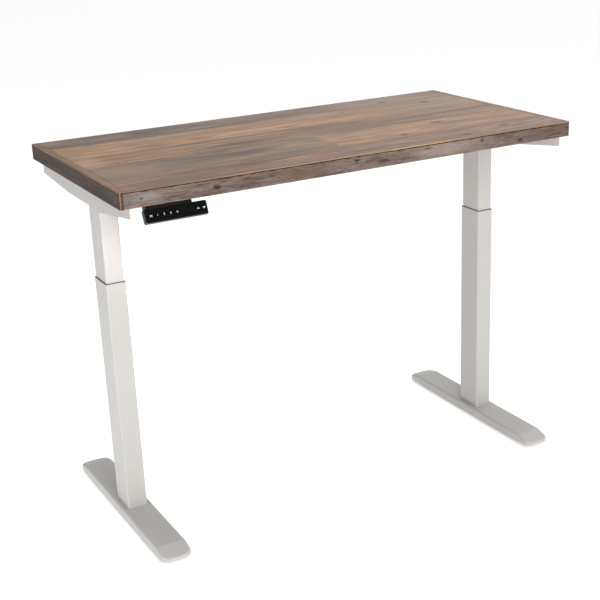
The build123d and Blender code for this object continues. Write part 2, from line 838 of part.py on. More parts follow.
make_worktop()
make_screws(
    "wood_screws", wood_screw_places, lambda p: underside - sheet, wood_screw_radius, wood_screw_length,
    wood_screw_head_radius, wood_screw_head_height,
)
for name, side in sides.items():
    make_side_bracket(f"side_bracket_{name}", side)
    make_rail_frame(f"rail_frame_{name}", side)
    make_column(name, side)
make_crossbar("crossbar_front", -rail_y)
make_crossbar("crossbar_back", rail_y)
head_bolts = [p for s in sides.values() for p in head_bolt_places(s)]
clamp_bolts = [p for s in sides.values() for p in clamp_bolt_places(s)]
make_screws(
    "frame_bolts", head_bolts + clamp_bolts,
    lambda p: underside - 2 * sheet if p in head_bolts else underside - sheet - sleeve_z,
    frame_bolt_radius, frame_bolt_length, frame_bolt_head_radius, frame_bolt_head_height,
)
make_control_case()
make_control_lid()
make_control_board()
make_keypad_housing()
make_keypad_bezel()
make_keypad_display()
make_keypad_board()
for name, offset in key_offsets.items():
    make_key(name, offset)
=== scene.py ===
# %% [markdown]
# # A height adjustable desk, dressed around its CAD frame
# The frame brings every part at its real size and place, as plain shapes. This lesson gives those
# parts their looks: planks of old pine with a rough-sawn front, powder-coated steel legs, and the
# small plastic and metal parts below. Loading the frame comes first, because each piece that is
# made later takes its place from a part of it.

# %% Load the frame
import json
import math

import bmesh
import bpy
from mathutils import Matrix, Vector, noise


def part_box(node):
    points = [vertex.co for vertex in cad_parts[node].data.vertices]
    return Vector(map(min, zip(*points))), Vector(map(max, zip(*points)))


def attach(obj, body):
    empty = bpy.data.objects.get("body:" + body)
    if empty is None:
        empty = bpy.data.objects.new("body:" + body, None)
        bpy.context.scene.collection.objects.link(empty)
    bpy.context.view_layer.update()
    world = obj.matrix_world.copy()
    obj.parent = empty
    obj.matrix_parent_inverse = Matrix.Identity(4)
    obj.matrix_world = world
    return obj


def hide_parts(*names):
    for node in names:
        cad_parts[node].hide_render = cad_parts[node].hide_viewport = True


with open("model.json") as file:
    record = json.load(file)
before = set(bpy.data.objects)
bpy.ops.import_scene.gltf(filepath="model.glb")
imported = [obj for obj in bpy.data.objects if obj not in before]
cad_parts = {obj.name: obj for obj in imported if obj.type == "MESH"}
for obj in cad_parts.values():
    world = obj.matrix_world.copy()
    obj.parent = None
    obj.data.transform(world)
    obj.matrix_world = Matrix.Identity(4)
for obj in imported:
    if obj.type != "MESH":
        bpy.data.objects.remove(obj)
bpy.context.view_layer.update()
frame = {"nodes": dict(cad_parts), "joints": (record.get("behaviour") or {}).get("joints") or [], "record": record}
nodes = frame["nodes"]
joints = {joint["name"]: joint for joint in frame["joints"]}

# %% [markdown]
# ## Camera and studio
# The desk stands on a seamless white floor in soft light, as in a catalogue. The camera is a
# short telephoto a little above the worktop, left of the middle. The standard view transform is
# used, so that the white ground stays white and the colours stay as they are chosen.

# %% Camera
MM = 0.001

scene = bpy.context.scene
lens = bpy.data.cameras.new("camera")
lens.lens = 71.01
lens.shift_x = -0.08
lens.shift_y = 0.01
camera = bpy.data.objects.new("camera", lens)
camera.location = (-1.4132, -2.6048, 1.5153)
camera.rotation_euler = [math.radians(angle) for angle in (70.076, 1.561, -30.932)]
scene.collection.objects.link(camera)
scene.camera = camera
scene.view_settings.view_transform = "Standard"


# %% Colours and nodes
def paint(code):
    """A colour such as '#8A6B50', which is sRGB, as the linear numbers that shaders use."""
    parts = [int(code[i:i + 2], 16) / 255 for i in (1, 3, 5)]
    return [p / 12.92 if p <= 0.04045 else ((p + 0.055) / 1.055) ** 2.4 for p in parts] + [1.0]


def put(tree, kind, inputs=None, **settings):
    """Adds one node, sets it up, and links or fills its inputs."""
    node = tree.nodes.new(kind)
    for name, value in settings.items():
        setattr(node, name, value)
    for name, value in (inputs or {}).items():
        if isinstance(value, bpy.types.NodeSocket):
            tree.links.new(value, node.inputs[name])
        else:
            node.inputs[name].default_value = value
    return node


def new_finish(name, **plain):
    """A material with one Principled surface. Values that are the same all over stand on its sockets."""
    material = bpy.data.materials.new(name)
    material.use_nodes = True
    tree = material.node_tree
    tree.nodes.clear()
    values = {key.replace("_", " "): value for key, value in plain.items()}
    surface = put(tree, "ShaderNodeBsdfPrincipled", values)
    put(tree, "ShaderNodeOutputMaterial", {"Surface": surface.outputs[0]})
    return material, tree, surface


def cover(tree, surface, colour, height, depth, strength, rough=None):
    """Gives a surface a colour, bumps of a depth in metres and, where it varies, a roughness."""
    relief = put(tree, "ShaderNodeBump", {"Height": height, "Distance": depth, "Strength": strength})
    tree.links.new(colour, surface.inputs["Base Color"])
    tree.links.new(relief.outputs[0], surface.inputs["Normal"])
    if rough is not None:
        tree.links.new(rough, surface.inputs["Roughness"])


# %% [markdown]
# The floor is one big sheet. A little light of its own keeps it white under the desk too, where
# the worktop takes light away, and leaves only the faint shadow that shows where the feet stand.
# The world is a pale room. It is brighter towards the front than behind the desk, so the worktop,
# seen at a low angle, mirrors a room of middle grey there and keeps its brown.

# %% Floor
floor_finish, tree, surface = new_finish("studio_floor", Roughness=0.9)
surface.inputs["Base Color"].default_value = paint("#F2F2F2")
surface.inputs["Emission Color"].default_value = (1, 1, 1, 1)
surface.inputs["Emission Strength"].default_value = 0.42
FLOOR = 30.0
FLOOR_GAP = 0.2 * MM
floor_mesh = bpy.data.meshes.new("studio_floor")
corners = [(-FLOOR, -FLOOR), (FLOOR, -FLOOR), (FLOOR, FLOOR), (-FLOOR, FLOOR)]
floor_mesh.from_pydata([(x, y, -FLOOR_GAP) for x, y in corners], [], [(0, 1, 2, 3)])
floor_mesh.materials.append(floor_finish)
floor = bpy.data.objects.new("studio_floor", floor_mesh)
scene.collection.objects.link(floor)

# %% World and lamps
world = bpy.data.worlds.new("pale_room")
scene.world = world
world.use_nodes = True
tree = world.node_tree
tree.nodes.clear()
toward = put(tree, "ShaderNodeTexCoord").outputs["Generated"]
across = put(tree, "ShaderNodeVectorMath", {0: toward, 1: (-0.75, 0.65, 0.1)}, operation="DOT_PRODUCT")
share = put(tree, "ShaderNodeMapRange", {
    "Value": across.outputs["Value"], "From Min": -0.35, "From Max": 0.75, "To Min": 1.0, "To Max": 0.24},
    interpolation_type="SMOOTHSTEP")
leftward = put(tree, "ShaderNodeVectorMath", {0: toward, 1: (-1, 0, 0)}, operation="DOT_PRODUCT")
dimmed = put(tree, "ShaderNodeMapRange", {
    "Value": leftward.outputs["Value"], "From Min": 0.2, "From Max": 0.9, "To Min": 1.0, "To Max": 0.2},
    interpolation_type="SMOOTHSTEP")
room = put(tree, "ShaderNodeMath", {0: share.outputs[0], 1: dimmed.outputs[0]}, operation="MULTIPLY")
seen = put(tree, "ShaderNodeLightPath").outputs["Is Camera Ray"]
level = put(tree, "ShaderNodeMix", {0: seen, 2: room.outputs[0], 3: 1.0}, data_type="FLOAT")
sky = put(tree, "ShaderNodeBackground", {"Color": paint("#FFFFFF"), "Strength": level.outputs[0]})
put(tree, "ShaderNodeOutputWorld", {"Surface": sky.outputs[0]})


def softbox(name, place, aim, size, watts, spread=180):
    """A square lamp that looks at a point. A spread under 180 degrees narrows its beam, as a grid does."""
    lamp = bpy.data.lights.new(name, "AREA")
    lamp.size = size
    lamp.energy = watts
    lamp.spread = math.radians(spread)
    stand = bpy.data.objects.new(name, lamp)
    stand.location = place
    stand.rotation_euler = (Vector(aim) - Vector(place)).to_track_quat("-Z", "Y").to_euler()
    scene.collection.objects.link(stand)
    return stand


big_lamps = [softbox("key_softbox", (-0.8, -3.5, 2.0), (0, 0, 0.6), 2.0, 66),
             softbox("top_softbox", (0.3, 0.4, 3.4), (0, 0, 0.6), 2.6, 52)]
for stand in big_lamps:
    # The varnish mirrors only the even surroundings, so that no lamp burns a white patch into it.
    stand.visible_glossy = False
softbox("low_softbox", (-1.7, 0.0, 0.25), (-0.55, 0, 0.05), 0.6, 6)
softbox("leg_softbox", (-0.9, -2.0, 0.35), (-0.55, 0, 0.80), 0.5, 7)
softbox("column_softbox", (-0.9, -2.0, 0.30), (-0.55, 0, 0.74), 0.1, 0.07, spread=10)


# %% [markdown]
# ## Powder-coated steel
# The legs, feet, brackets and rails are mild steel, sprayed with a warm light grey polyester
# powder and baked. That gives a satin skin with a fine orange peel, about 1.5 mm from bump to
# bump and only a few hundredths deep. The bumps are drawn at 2.2 mm, a little coarser than they
# are, so that they still show close up. A faint unevenness of tone keeps big faces from looking flat.

# %% Powder coat
def powder_coat(name, colour, peel=2.2 * MM):
    material, tree, surface = new_finish(name, IOR=1.5, Coat_Weight=0.12, Coat_Roughness=0.3)
    place = put(tree, "ShaderNodeTexCoord").outputs["Object"]
    cloud = put(tree, "ShaderNodeTexNoise", {"Vector": place, "Scale": 1 / 0.16, "Detail": 2.0})
    tone = put(tree, "ShaderNodeMapRange", {"Value": cloud.outputs[0], "To Min": 0.965, "To Max": 1.03})
    tint = put(tree, "ShaderNodeVectorMath", {0: paint(colour)[:3], "Scale": tone.outputs[0]},
               operation="SCALE")
    bumps = put(tree, "ShaderNodeTexNoise", {"Vector": place, "Scale": 1 / peel, "Detail": 1.0})
    gloss = put(tree, "ShaderNodeMapRange", {"Value": bumps.outputs[0], "To Min": 0.36, "To Max": 0.5})
    cover(tree, surface, tint.outputs[0], bumps.outputs[0], 0.06 * MM, 0.6, gloss.outputs[0])
    return material


grey_coat = powder_coat("powder_coated_steel", "#AFADA9")


# %% [markdown]
# ## Zinc-plated steel, die-cast aluminium and brass
# Screws, bolts and lifting screws are zinc plated: bright, faintly blue, with clouds where the
# chromate dried. The gearbox is die-cast aluminium with the sandy skin of the mould. The lifting
# nut is turned brass. Metals keep the default IOR; their colour is the colour of the mirror.

# %% Metals
def metal(name, colour, rough, grain, depth, cloud=0.05):
    material, tree, surface = new_finish(name, Metallic=1.0)
    place = put(tree, "ShaderNodeTexCoord").outputs["Object"]
    wide = put(tree, "ShaderNodeTexNoise", {"Vector": place, "Scale": 1 / (9 * MM), "Detail": 3.0})
    tone = put(tree, "ShaderNodeMapRange", {
        "Value": wide.outputs[0], "To Min": 1 - cloud, "To Max": 1 + cloud})
    tint = put(tree, "ShaderNodeVectorMath", {0: paint(colour)[:3], "Scale": tone.outputs[0]},
               operation="SCALE")
    fine = put(tree, "ShaderNodeTexNoise", {"Vector": place, "Scale": 1 / grain, "Detail": 2.0})
    gloss = put(tree, "ShaderNodeMapRange", {
        "Value": fine.outputs[0], "To Min": rough - 0.08, "To Max": rough + 0.1})
    cover(tree, surface, tint.outputs[0], fine.outputs[0], depth, 0.7, gloss.outputs[0])
    return material


zinc = metal("zinc_plated_steel", "#BFC4C8", 0.3, 1.2 * MM, 0.01 * MM, 0.08)
cast_aluminium = metal("die_cast_aluminium", "#A9ABAE", 0.52, 0.9 * MM, 0.08 * MM)
brass = metal("turned_brass", "#C9A45A", 0.28, 0.8 * MM, 0.01 * MM)


# %% [markdown]
# ## Moulded plastics
# ABS for the keypad and the control box, acetal for the bushes, nylon for the gears and the
# levelling feet. A tool with a spark-eroded texture leaves a fine matt grain of some 0.4 mm; a
# polished tool leaves a gloss with hardly any grain. One function makes them all, from the
# colour, the roughness, and the width and depth of the grain.

# %% Plastics
def plastic(name, colour, rough, grain, depth, spread=0.08, **plain):
    material, tree, surface = new_finish(name, **{"IOR": 1.5, "Specular_IOR_Level": 0.3, **plain})
    place = put(tree, "ShaderNodeTexCoord").outputs["Object"]
    fine = put(tree, "ShaderNodeTexNoise", {"Vector": place, "Scale": 1 / grain, "Detail": 2.0})
    wide = put(tree, "ShaderNodeTexNoise", {"Vector": place, "Scale": 1 / (22 * MM), "Detail": 2.0})
    tone = put(tree, "ShaderNodeMapRange", {"Value": wide.outputs[0], "To Min": 0.9, "To Max": 1.1})
    tint = put(tree, "ShaderNodeVectorMath", {0: paint(colour)[:3], "Scale": tone.outputs[0]},
               operation="SCALE")
    gloss = put(tree, "ShaderNodeMapRange", {
        "Value": fine.outputs[0], "To Min": max(0.03, rough - spread), "To Max": rough + spread})
    cover(tree, surface, tint.outputs[0], fine.outputs[0], depth, 0.8, gloss.outputs[0])
    return material


matt_abs = plastic("textured_black_abs", "#101114", 0.42, 0.7 * MM, 0.04 * MM)
face_abs = plastic("dull_black_abs", "#08090B", 0.3, 1.5 * MM, 0.002 * MM, 0.05, Specular_IOR_Level=0.05)
gloss_abs = plastic("polished_black_abs", "#08090B", 0.1, 1.5 * MM, 0.002 * MM, 0.03, Coat_Weight=1.0)
key_plastic = plastic("satin_black_keys", "#050608", 0.33, 0.6 * MM, 0.01 * MM, Specular_IOR_Level=0.06)
legend_ink = plastic("pale_printed_ink", "#C9CCCF", 0.5, 0.4 * MM, 0.005 * MM)
smoked_acrylic = plastic("smoked_acrylic", "#050608", 0.06, 3 * MM, 0.0, 0.01, Specular_IOR_Level=0.08)
acetal = plastic("black_acetal", "#1D1D1E", 0.42, 0.8 * MM, 0.02 * MM)
nylon = plastic("natural_nylon", "#DAD4C4", 0.45, 0.8 * MM, 0.02 * MM)
foot_nylon = plastic("black_nylon", "#1A1A1B", 0.55, 0.8 * MM, 0.05 * MM)
motor_paint = plastic("black_painted_steel", "#16171A", 0.34, 1.6 * MM, 0.02 * MM, Coat_Weight=0.2)
solder_mask = plastic("green_solder_mask", "#14532E", 0.3, 2.5 * MM, 0.05 * MM)


# %% [markdown]
# ## Old pine
# The worktop is made of reclaimed softwood: planed, sanded and varnished on top. A log is a stack
# of yearly rings about one pith line, so the figure of a plank is a slice through those rings.
# The material makes it the same way: the distance from a pith line that runs below the plank,
# divided by the ring width, gives the dark and light lines, wherever the plank is cut. Over that
# lie long soft streaks of tan, brown and weathered grey, fine fibres, short dark checks, knots
# that push the rings aside, and the blue-black stains of old nails.

# %% Streaks and stains
def stretched(tree, place, along, across, detail, rough, start=(0, 0, 0)):
    """A noise drawn out along X, whose patches are about along by across metres."""
    pull = put(tree, "ShaderNodeMapping", {
        0: place, "Location": start, "Scale": (1 / along, 1 / across, 1 / across)})
    return put(tree, "ShaderNodeTexNoise", {
        "Vector": pull.outputs[0], "Scale": 1.0, "Detail": detail, "Roughness": rough}).outputs[0]


def shaded(tree, shade, layers):
    """Makes a shade darker or lighter by each layer: a noise with the shades of its low and high values."""
    for source, low, high in layers:
        ease = put(tree, "ShaderNodeMapRange", {
            "Value": source, "From Min": 0.3, "From Max": 0.7, "To Min": low, "To Max": high})
        shade = put(tree, "ShaderNodeMath", {0: shade, 1: ease.outputs[0]}, operation="MULTIPLY").outputs[0]
    return shade


def oval(tree, place, centre, squeeze):
    """The distance from a centre, in units of an oval mark's own size."""
    aside = put(tree, "ShaderNodeVectorMath", {0: place, 1: centre}, operation="SUBTRACT")
    sized = put(tree, "ShaderNodeVectorMath", {0: aside.outputs[0], 1: squeeze}, operation="MULTIPLY")
    return put(tree, "ShaderNodeVectorMath", {0: sized.outputs[0]}, operation="LENGTH").outputs["Value"]


def lay_stains_and_sheen(tree, toned, place, marks, upright, noise_level, fray, rim):
    """Lays marks over a colour: along, off, half length, half width, colour and strength of each.
    They lie on the top or stand on the front face, and a noise frays their rim."""
    for along, off, half_long, half_wide, tint, strength in marks:
        centre = (along, 0, off) if upright else (along, off, 0)
        squeeze = (1 / half_long, 0, 1 / half_wide) if upright else (1 / half_long, 1 / half_wide, 0)
        away = oval(tree, place, centre, squeeze)
        frayed = put(tree, "ShaderNodeMath", {0: noise_level, 1: fray, 2: away}, operation="MULTIPLY_ADD")
        mask = put(tree, "ShaderNodeMapRange", {
            "Value": frayed.outputs[0], "From Min": rim[0], "From Max": rim[1],
            "To Min": strength, "To Max": 0.0}, interpolation_type="SMOOTHSTEP")
        toned = put(tree, "ShaderNodeMix", {0: mask.outputs[0], 6: toned, 7: paint(tint)},
                    data_type="RGBA").outputs[2]
    return toned


# %% [markdown]
# The rings: the distance from the pith line is bent by a slow noise, lifted around knots, and
# divided by the ring width. What is left after the whole rings tells where in the year's growth
# a place lies: pale early wood, then ever darker late wood, and a sharp step back to pale.

# %% Yearly rings
SHIFT = (1.37, 0.61, 0.29)


def yearly_rings(tree, place, bent, seed, pith, ring, knots):
    """How far a place is into the dark late wood of its ring, and how deep it is in a knot."""
    lift, knot_dark = 0.0, 0.0
    for x, y, radius in knots:
        away = oval(tree, place, (x, y, 0), (0.42 / radius, 1 / radius, 0))
        near = put(tree, "ShaderNodeMapRange", {
            "Value": away, "From Min": 0.4, "From Max": 3.2, "To Min": radius * 1.6, "To Max": 0.0},
            interpolation_type="SMOOTHERSTEP")
        core = put(tree, "ShaderNodeMapRange", {
            "Value": away, "From Min": 0.55, "From Max": 1.35, "To Min": 1.0, "To Max": 0.0},
            interpolation_type="SMOOTHSTEP")
        lift = put(tree, "ShaderNodeMath", {0: lift, 1: near.outputs[0]}).outputs[0]
        knot_dark = put(tree, "ShaderNodeMath", {0: knot_dark, 1: core.outputs[0]},
                        operation="MAXIMUM").outputs[0]
    # The pith climbs and turns aside a little along the plank, so that arches show.
    from_pith = put(tree, "ShaderNodeVectorMath", {
        0: bent, 1: (0, seed * SHIFT[1] + pith[0], seed * SHIFT[2] + pith[1])}, operation="SUBTRACT")
    spread = put(tree, "ShaderNodeMapping", {
        0: from_pith.outputs[0], "Rotation": (0, math.radians(1.4), math.radians(0.7)), "Scale": (0, 1, 1)})
    reach = put(tree, "ShaderNodeVectorMath", {0: spread.outputs[0]}, operation="LENGTH")
    bowed = put(tree, "ShaderNodeMath", {0: reach.outputs["Value"], 1: lift})
    years = put(tree, "ShaderNodeMath", {0: bowed.outputs[0], 1: ring}, operation="DIVIDE")
    phase = put(tree, "ShaderNodeMath", {0: years.outputs[0]}, operation="FRACT")
    rise = put(tree, "ShaderNodeMapRange", {"Value": phase.outputs[0], "From Min": 0.25, "From Max": 0.86},
               interpolation_type="SMOOTHSTEP")
    fall = put(tree, "ShaderNodeMapRange", {
        "Value": phase.outputs[0], "From Min": 0.88, "From Max": 1.0, "To Min": 1.0, "To Max": 0.0},
        interpolation_type="SMOOTHSTEP")
    late = put(tree, "ShaderNodeMath", {0: rise.outputs[0], 1: fall.outputs[0]}, operation="MULTIPLY")
    return late.outputs[0], knot_dark


# %% Wood figure
def old_pine(name, tan, brown, grey, seed, pith, weathered=0.5, ring=4.2 * MM, knots=(), stains_and_sheen=(),
             lively=1.0, sheen=0.5, crossways=False):
    """pith is where the pith lies across and up. A knot is x, y, radius. A stain or a patch of painted sheen
    is x, y, half length, half width, colour and strength. lively is the strength of the figure, sheen that
    of the varnish.
    Wood that lies crossways has its grain along Y, and its places are given as y, -x."""
    material, tree, surface = new_finish(name, IOR=1.46, Specular_IOR_Level=sheen,
                                         Coat_Weight=0.3 * sheen, Coat_Roughness=0.32, Coat_IOR=1.5)
    place = put(tree, "ShaderNodeTexCoord").outputs["Object"]
    if crossways:
        turned = put(tree, "ShaderNodeMapping", {0: place, "Rotation": (0, 0, -math.pi / 2)})
        place = turned.outputs[0]
    # Each plank looks up another region of the noises, and its grain sways by a few centimetres.
    shifted = put(tree, "ShaderNodeVectorMath", {0: place, 1: tuple(seed * shift for shift in SHIFT)})
    slow = put(tree, "ShaderNodeMapping", {0: shifted.outputs[0], "Scale": (2.1, 9, 9)})
    drift = put(tree, "ShaderNodeTexNoise", {"Vector": slow.outputs[0], "Scale": 1.0, "Detail": 2.0})
    centred = put(tree, "ShaderNodeVectorMath", {0: drift.outputs["Color"], 1: (0.5, 0.5, 0.5)},
                  operation="SUBTRACT")
    sway = put(tree, "ShaderNodeVectorMath", {0: centred.outputs[0], 1: (0, 0.030, 0.030)},
               operation="MULTIPLY")
    bent = put(tree, "ShaderNodeVectorMath", {0: shifted.outputs[0], 1: sway.outputs[0]}).outputs[0]
    latewood, knot_dark = yearly_rings(tree, place, bent, seed, pith, ring, knots)
    # Streaks and fibres: the sizes across the grain are 24, 6, 1.6 and 0.7 mm.
    sizes = ((0.42, 24 * MM, 4.0), (0.13, 6 * MM, 5.0), (0.05, 1.6 * MM, 3.0), (0.02, 0.7 * MM, 1.0))
    broad, streak, fibre, pore = [stretched(tree, bent, *size, 0.62) for size in sizes]
    warm = put(tree, "ShaderNodeMapRange", {"Value": broad, "From Min": 0.36, "From Max": 0.64},
               interpolation_type="SMOOTHSTEP")
    colour = put(tree, "ShaderNodeMix", {0: warm.outputs[0], 6: paint(brown), 7: paint(tan)},
                 data_type="RGBA")
    weather = stretched(tree, bent, 0.36, 34 * MM, 4.0, 0.6, start=(3.1, 1.7, 0))
    start = 0.66 - 0.3 * weathered
    worn = put(tree, "ShaderNodeMapRange", {
        "Value": weather, "From Min": start, "From Max": start + 0.2, "To Max": 0.85},
        interpolation_type="SMOOTHSTEP")
    colour = put(tree, "ShaderNodeMix", {0: worn.outputs[0], 6: colour.outputs[2], 7: paint(grey)},
                 data_type="RGBA")
    # The late wood and each layer make the wood a little darker or lighter.
    ringed = put(tree, "ShaderNodeMapRange", {"Value": latewood, "To Min": 1.06, "To Max": 1 - 0.30 * lively})
    shade = shaded(tree, ringed.outputs[0], (
        (streak, 1 - 0.46 * lively, 1 + 0.40 * lively), (fibre, 1 - 0.30 * lively, 1 + 0.26 * lively),
        (pore, 0.86, 1.14)))
    toned = put(tree, "ShaderNodeVectorMath", {0: colour.outputs[2], "Scale": shade}, operation="SCALE")
    # Checks: thin dark cracks where a long noise crosses one value.
    crease = stretched(tree, bent, 0.22, 14 * MM, 1.0, 0.5, start=(0.7, 5.3, 0))
    level = put(tree, "ShaderNodeMath", {0: crease, 1: 0.69}, operation="SUBTRACT")
    width = put(tree, "ShaderNodeMath", {0: level.outputs[0]}, operation="ABSOLUTE")
    check = put(tree, "ShaderNodeMapRange", {
        "Value": width.outputs[0], "From Min": 0.004, "From Max": 0.022, "To Min": 0.55, "To Max": 0.0})
    toned = put(tree, "ShaderNodeMix", {0: check.outputs[0], 6: toned.outputs[0], 7: paint("#2A1D16")},
                data_type="RGBA").outputs[2]
    toned = lay_stains_and_sheen(tree, toned, place, stains_and_sheen, False, streak, 1.5, (0.75, 1.75))
    if knots:
        toned = put(tree, "ShaderNodeMix", {0: knot_dark, 6: toned, 7: paint("#33221A")},
                    data_type="RGBA").outputs[2]
    gloss = put(tree, "ShaderNodeMapRange", {
        "Value": streak, "From Min": 0.3, "From Max": 0.7, "To Min": 0.36, "To Max": 0.5})
    height = put(tree, "ShaderNodeMath", {0: fibre, 1: 0.5, 2: latewood}, operation="MULTIPLY_ADD")
    sunk = put(tree, "ShaderNodeMath", {0: check.outputs[0], 1: -3.0, 2: height.outputs[0]},
               operation="MULTIPLY_ADD")
    cover(tree, surface, toned, sunk.outputs[0], 0.10 * MM, 0.7, gloss.outputs[0])
    return material


# %% [markdown]
# Every plank came from another beam, so each has its own tones, its own rings and its own marks.
# Places of knots, stains and sheen patches are in metres in the frame's own axes. The back plank is
# the greyest, the second one and the right half of the fourth are the warmest, and the front one is
# reddish. On the back and the second plank, a patch over the right half is painted sheen.

# %% Six planks
plank_finishes = {
    "top_board_back": old_pine("grey_pine_back", "#87705E", "#6B594C", "#5F564F", 1.0, (0.02, 0.86), 0.75,
                               knots=[(0.376, 0.2308, 0.006)],
                               stains_and_sheen=[(-0.33, 0.256, 0.05, 0.02, "#33302D", 0.75),
                                       # Painted sheen: this lighter patch over the right half of the back plank
                                       # stands in for the varnish mirroring the bright room.
                                       (0.42, 0.25, 0.34, 0.10, "#A08773", 0.5)]),
    "top_board_second": old_pine("tan_pine_second", "#A37F60", "#8A6A50", "#7A6555", 2.0, (0.10, 0.84), 0.3,
                                 knots=[(0.4724, 0.1608, 0.007)],
                                 # Painted sheen: this greyer patch over the right half of the second plank stands
                                 # in for the veil that the varnish's reflection lays there.
                                 stains_and_sheen=[(0.48, 0.132, 0.26, 0.12, "#736A61", 0.65)]),
    "top_board_middle": old_pine("brown_pine_middle", "#9A7758", "#6E5643", "#61564B", 3.0, (0.0, 0.85), 0.5,
                                 stains_and_sheen=[(-0.19, -0.02, 0.16, 0.03, "#3B2B22", 0.5),
                                         (-0.57, 0.0, 0.07, 0.09, "#B8947A", 0.55)]),
    "top_board_fourth_left": old_pine("olive_pine_left", "#89725B", "#6C594A", "#625950", 4.0,
                                      (-0.10, 0.83), 0.7,
                                      stains_and_sheen=[(-0.22, -0.12, 0.12, 0.03, "#3A2A23", 0.5),
                                              (-0.53, -0.125, 0.16, 0.10, "#A3876E", 0.4)]),
    "top_board_fourth_right": old_pine("tan_pine_right", "#A67F5F", "#8C6B53", "#786658", 5.0,
                                       (-0.15, 0.86), 0.3,
                                       knots=[(0.3364, -0.0992, 0.008), (0.1824, -0.1812, 0.006)]),
    "top_board_front": old_pine("red_pine_front", "#96735A", "#745749", "#665952", 6.0, (-0.24, 0.84), 0.55,
                                knots=[(0.4464, -0.2372, 0.006), (0.3064, -0.2712, 0.006)],
                                stains_and_sheen=[(-0.36, -0.25, 0.26, 0.075, "#54403A", 0.5),
                                        (-0.25, -0.235, 0.10, 0.035, "#3C251C", 0.5)]),
}
strip_finish = old_pine("brown_pine_strip", "#8A6B53", "#725B49", "#66584D", 7.0, (0.0, 0.80), 0.4,
                       crossways=True)
patina = old_pine("dark_pine_edge", "#54443B", "#3D302A", "#443B37", 8.0, (0.0, 0.80), 0.5,
                  lively=0.9, sheen=0.05, crossways=True,
                  # This patch makes the end face darker towards the back.
                  stains_and_sheen=[(0.28, 0.61, 0.34, 0.2, "#2A211E", 0.45)])
print(len(plank_finishes), "plank finishes")

# %% [markdown]
# The edge between the top and the front face was planed and sanded last, so fresh golden wood
# shows along it. Below it, the front plank keeps its rough-sawn, weathered skin: grey to pinkish
# brown, with the marks of the saw across it every 4 mm or so, leaning a little, and dark spots
# where nails were. It has no gloss. Where the sanding stopped, a thin band is near black: old dark
# skin, with the shade of the little step painted into it.

# %% Golden edge and sawn face
golden = old_pine("sanded_pine_edge", "#AE8860", "#936E4C", "#7F644B", 9.0, (-0.24, 0.80), 0.3,
                  lively=0.7, stains_and_sheen=[(-0.56, -0.30, 0.22, 0.2, "#755338", 0.8),
                                      (0.45, -0.30, 0.42, 0.2, "#7A5A3B", 0.75)])
rubbed_edge_and_highlight = old_pine("rubbed_pine_edge_and_highlight", "#8A6A4E", "#70543F", "#665244", 10.0, (0.0, 0.80), 0.3,
                       lively=0.6, crossways=True)


SAW_PITCH = 4 * MM


def sawn_pine(name, pale, deep, grey, spots):
    """Rough-sawn old wood. A spot is x, z, half length, half height, colour and strength."""
    material, tree, surface = new_finish(name, IOR=1.46, Specular_IOR_Level=0.25, Roughness=0.8)
    place = put(tree, "ShaderNodeTexCoord").outputs["Object"]
    drift = put(tree, "ShaderNodeTexNoise", {"Vector": place, "Scale": 1 / (60 * MM), "Detail": 2.0})
    sway = put(tree, "ShaderNodeVectorMath", {0: drift.outputs["Color"], "Scale": 7 * MM}, operation="SCALE")
    bent = put(tree, "ShaderNodeVectorMath", {0: place, 1: sway.outputs[0]}).outputs[0]
    sizes = ((0.17, 15 * MM, 5.0), (0.045, 5 * MM, 5.0), (0.05, 1.1 * MM, 4.0), (0.012, 2 * MM, 4.0))
    broad, blotch, fibre, speck = [stretched(tree, bent, *size, 0.66) for size in sizes]
    warm = put(tree, "ShaderNodeMapRange", {"Value": broad, "From Min": 0.38, "From Max": 0.62})
    colour = put(tree, "ShaderNodeMix", {0: warm.outputs[0], 6: paint(deep), 7: paint(pale)},
                 data_type="RGBA")
    worn = put(tree, "ShaderNodeMapRange", {"Value": blotch, "From Min": 0.47, "From Max": 0.62})
    colour = put(tree, "ShaderNodeMix", {0: worn.outputs[0], 6: colour.outputs[2], 7: paint(grey)},
                 data_type="RGBA")
    # The marks lean by a fifth, show only in patches and never run straight. The texture has a
    # wave every pi / 10 of its own units, so this scale puts the marks just under 4 mm apart.
    lean = put(tree, "ShaderNodeMapping", {0: bent, "Rotation": (0, math.radians(11), 0)})
    marks = put(tree, "ShaderNodeTexWave", {
        "Vector": lean.outputs[0], "Scale": 1 / (math.pi * SAW_PITCH), "Distortion": 7.0, "Detail": 3.0,
        "Detail Scale": 2.5}, bands_direction="X").outputs[1]
    kept = put(tree, "ShaderNodeMapRange", {
        "Value": broad, "From Min": 0.46, "From Max": 0.62, "To Max": 0.22})
    sawn = put(tree, "ShaderNodeMath", {0: marks, 1: kept.outputs[0]}, operation="MULTIPLY").outputs[0]
    shade = put(tree, "ShaderNodeMath", {0: 1.04, 1: sawn}, operation="SUBTRACT").outputs[0]
    shade = shaded(tree, shade, ((fibre, 0.45, 1.52), (blotch, 1.24, 0.72), (speck, 0.76, 1.2)))
    toned = put(tree, "ShaderNodeVectorMath", {0: colour.outputs[2], "Scale": shade}, operation="SCALE")
    toned = lay_stains_and_sheen(tree, toned.outputs[0], place, spots, True, blotch, 1.2, (0.7, 1.6))
    height = put(tree, "ShaderNodeMath", {0: sawn, 1: -1.5, 2: fibre}, operation="MULTIPLY_ADD")
    cover(tree, surface, toned, height.outputs[0], 0.5 * MM, 0.9)
    return material


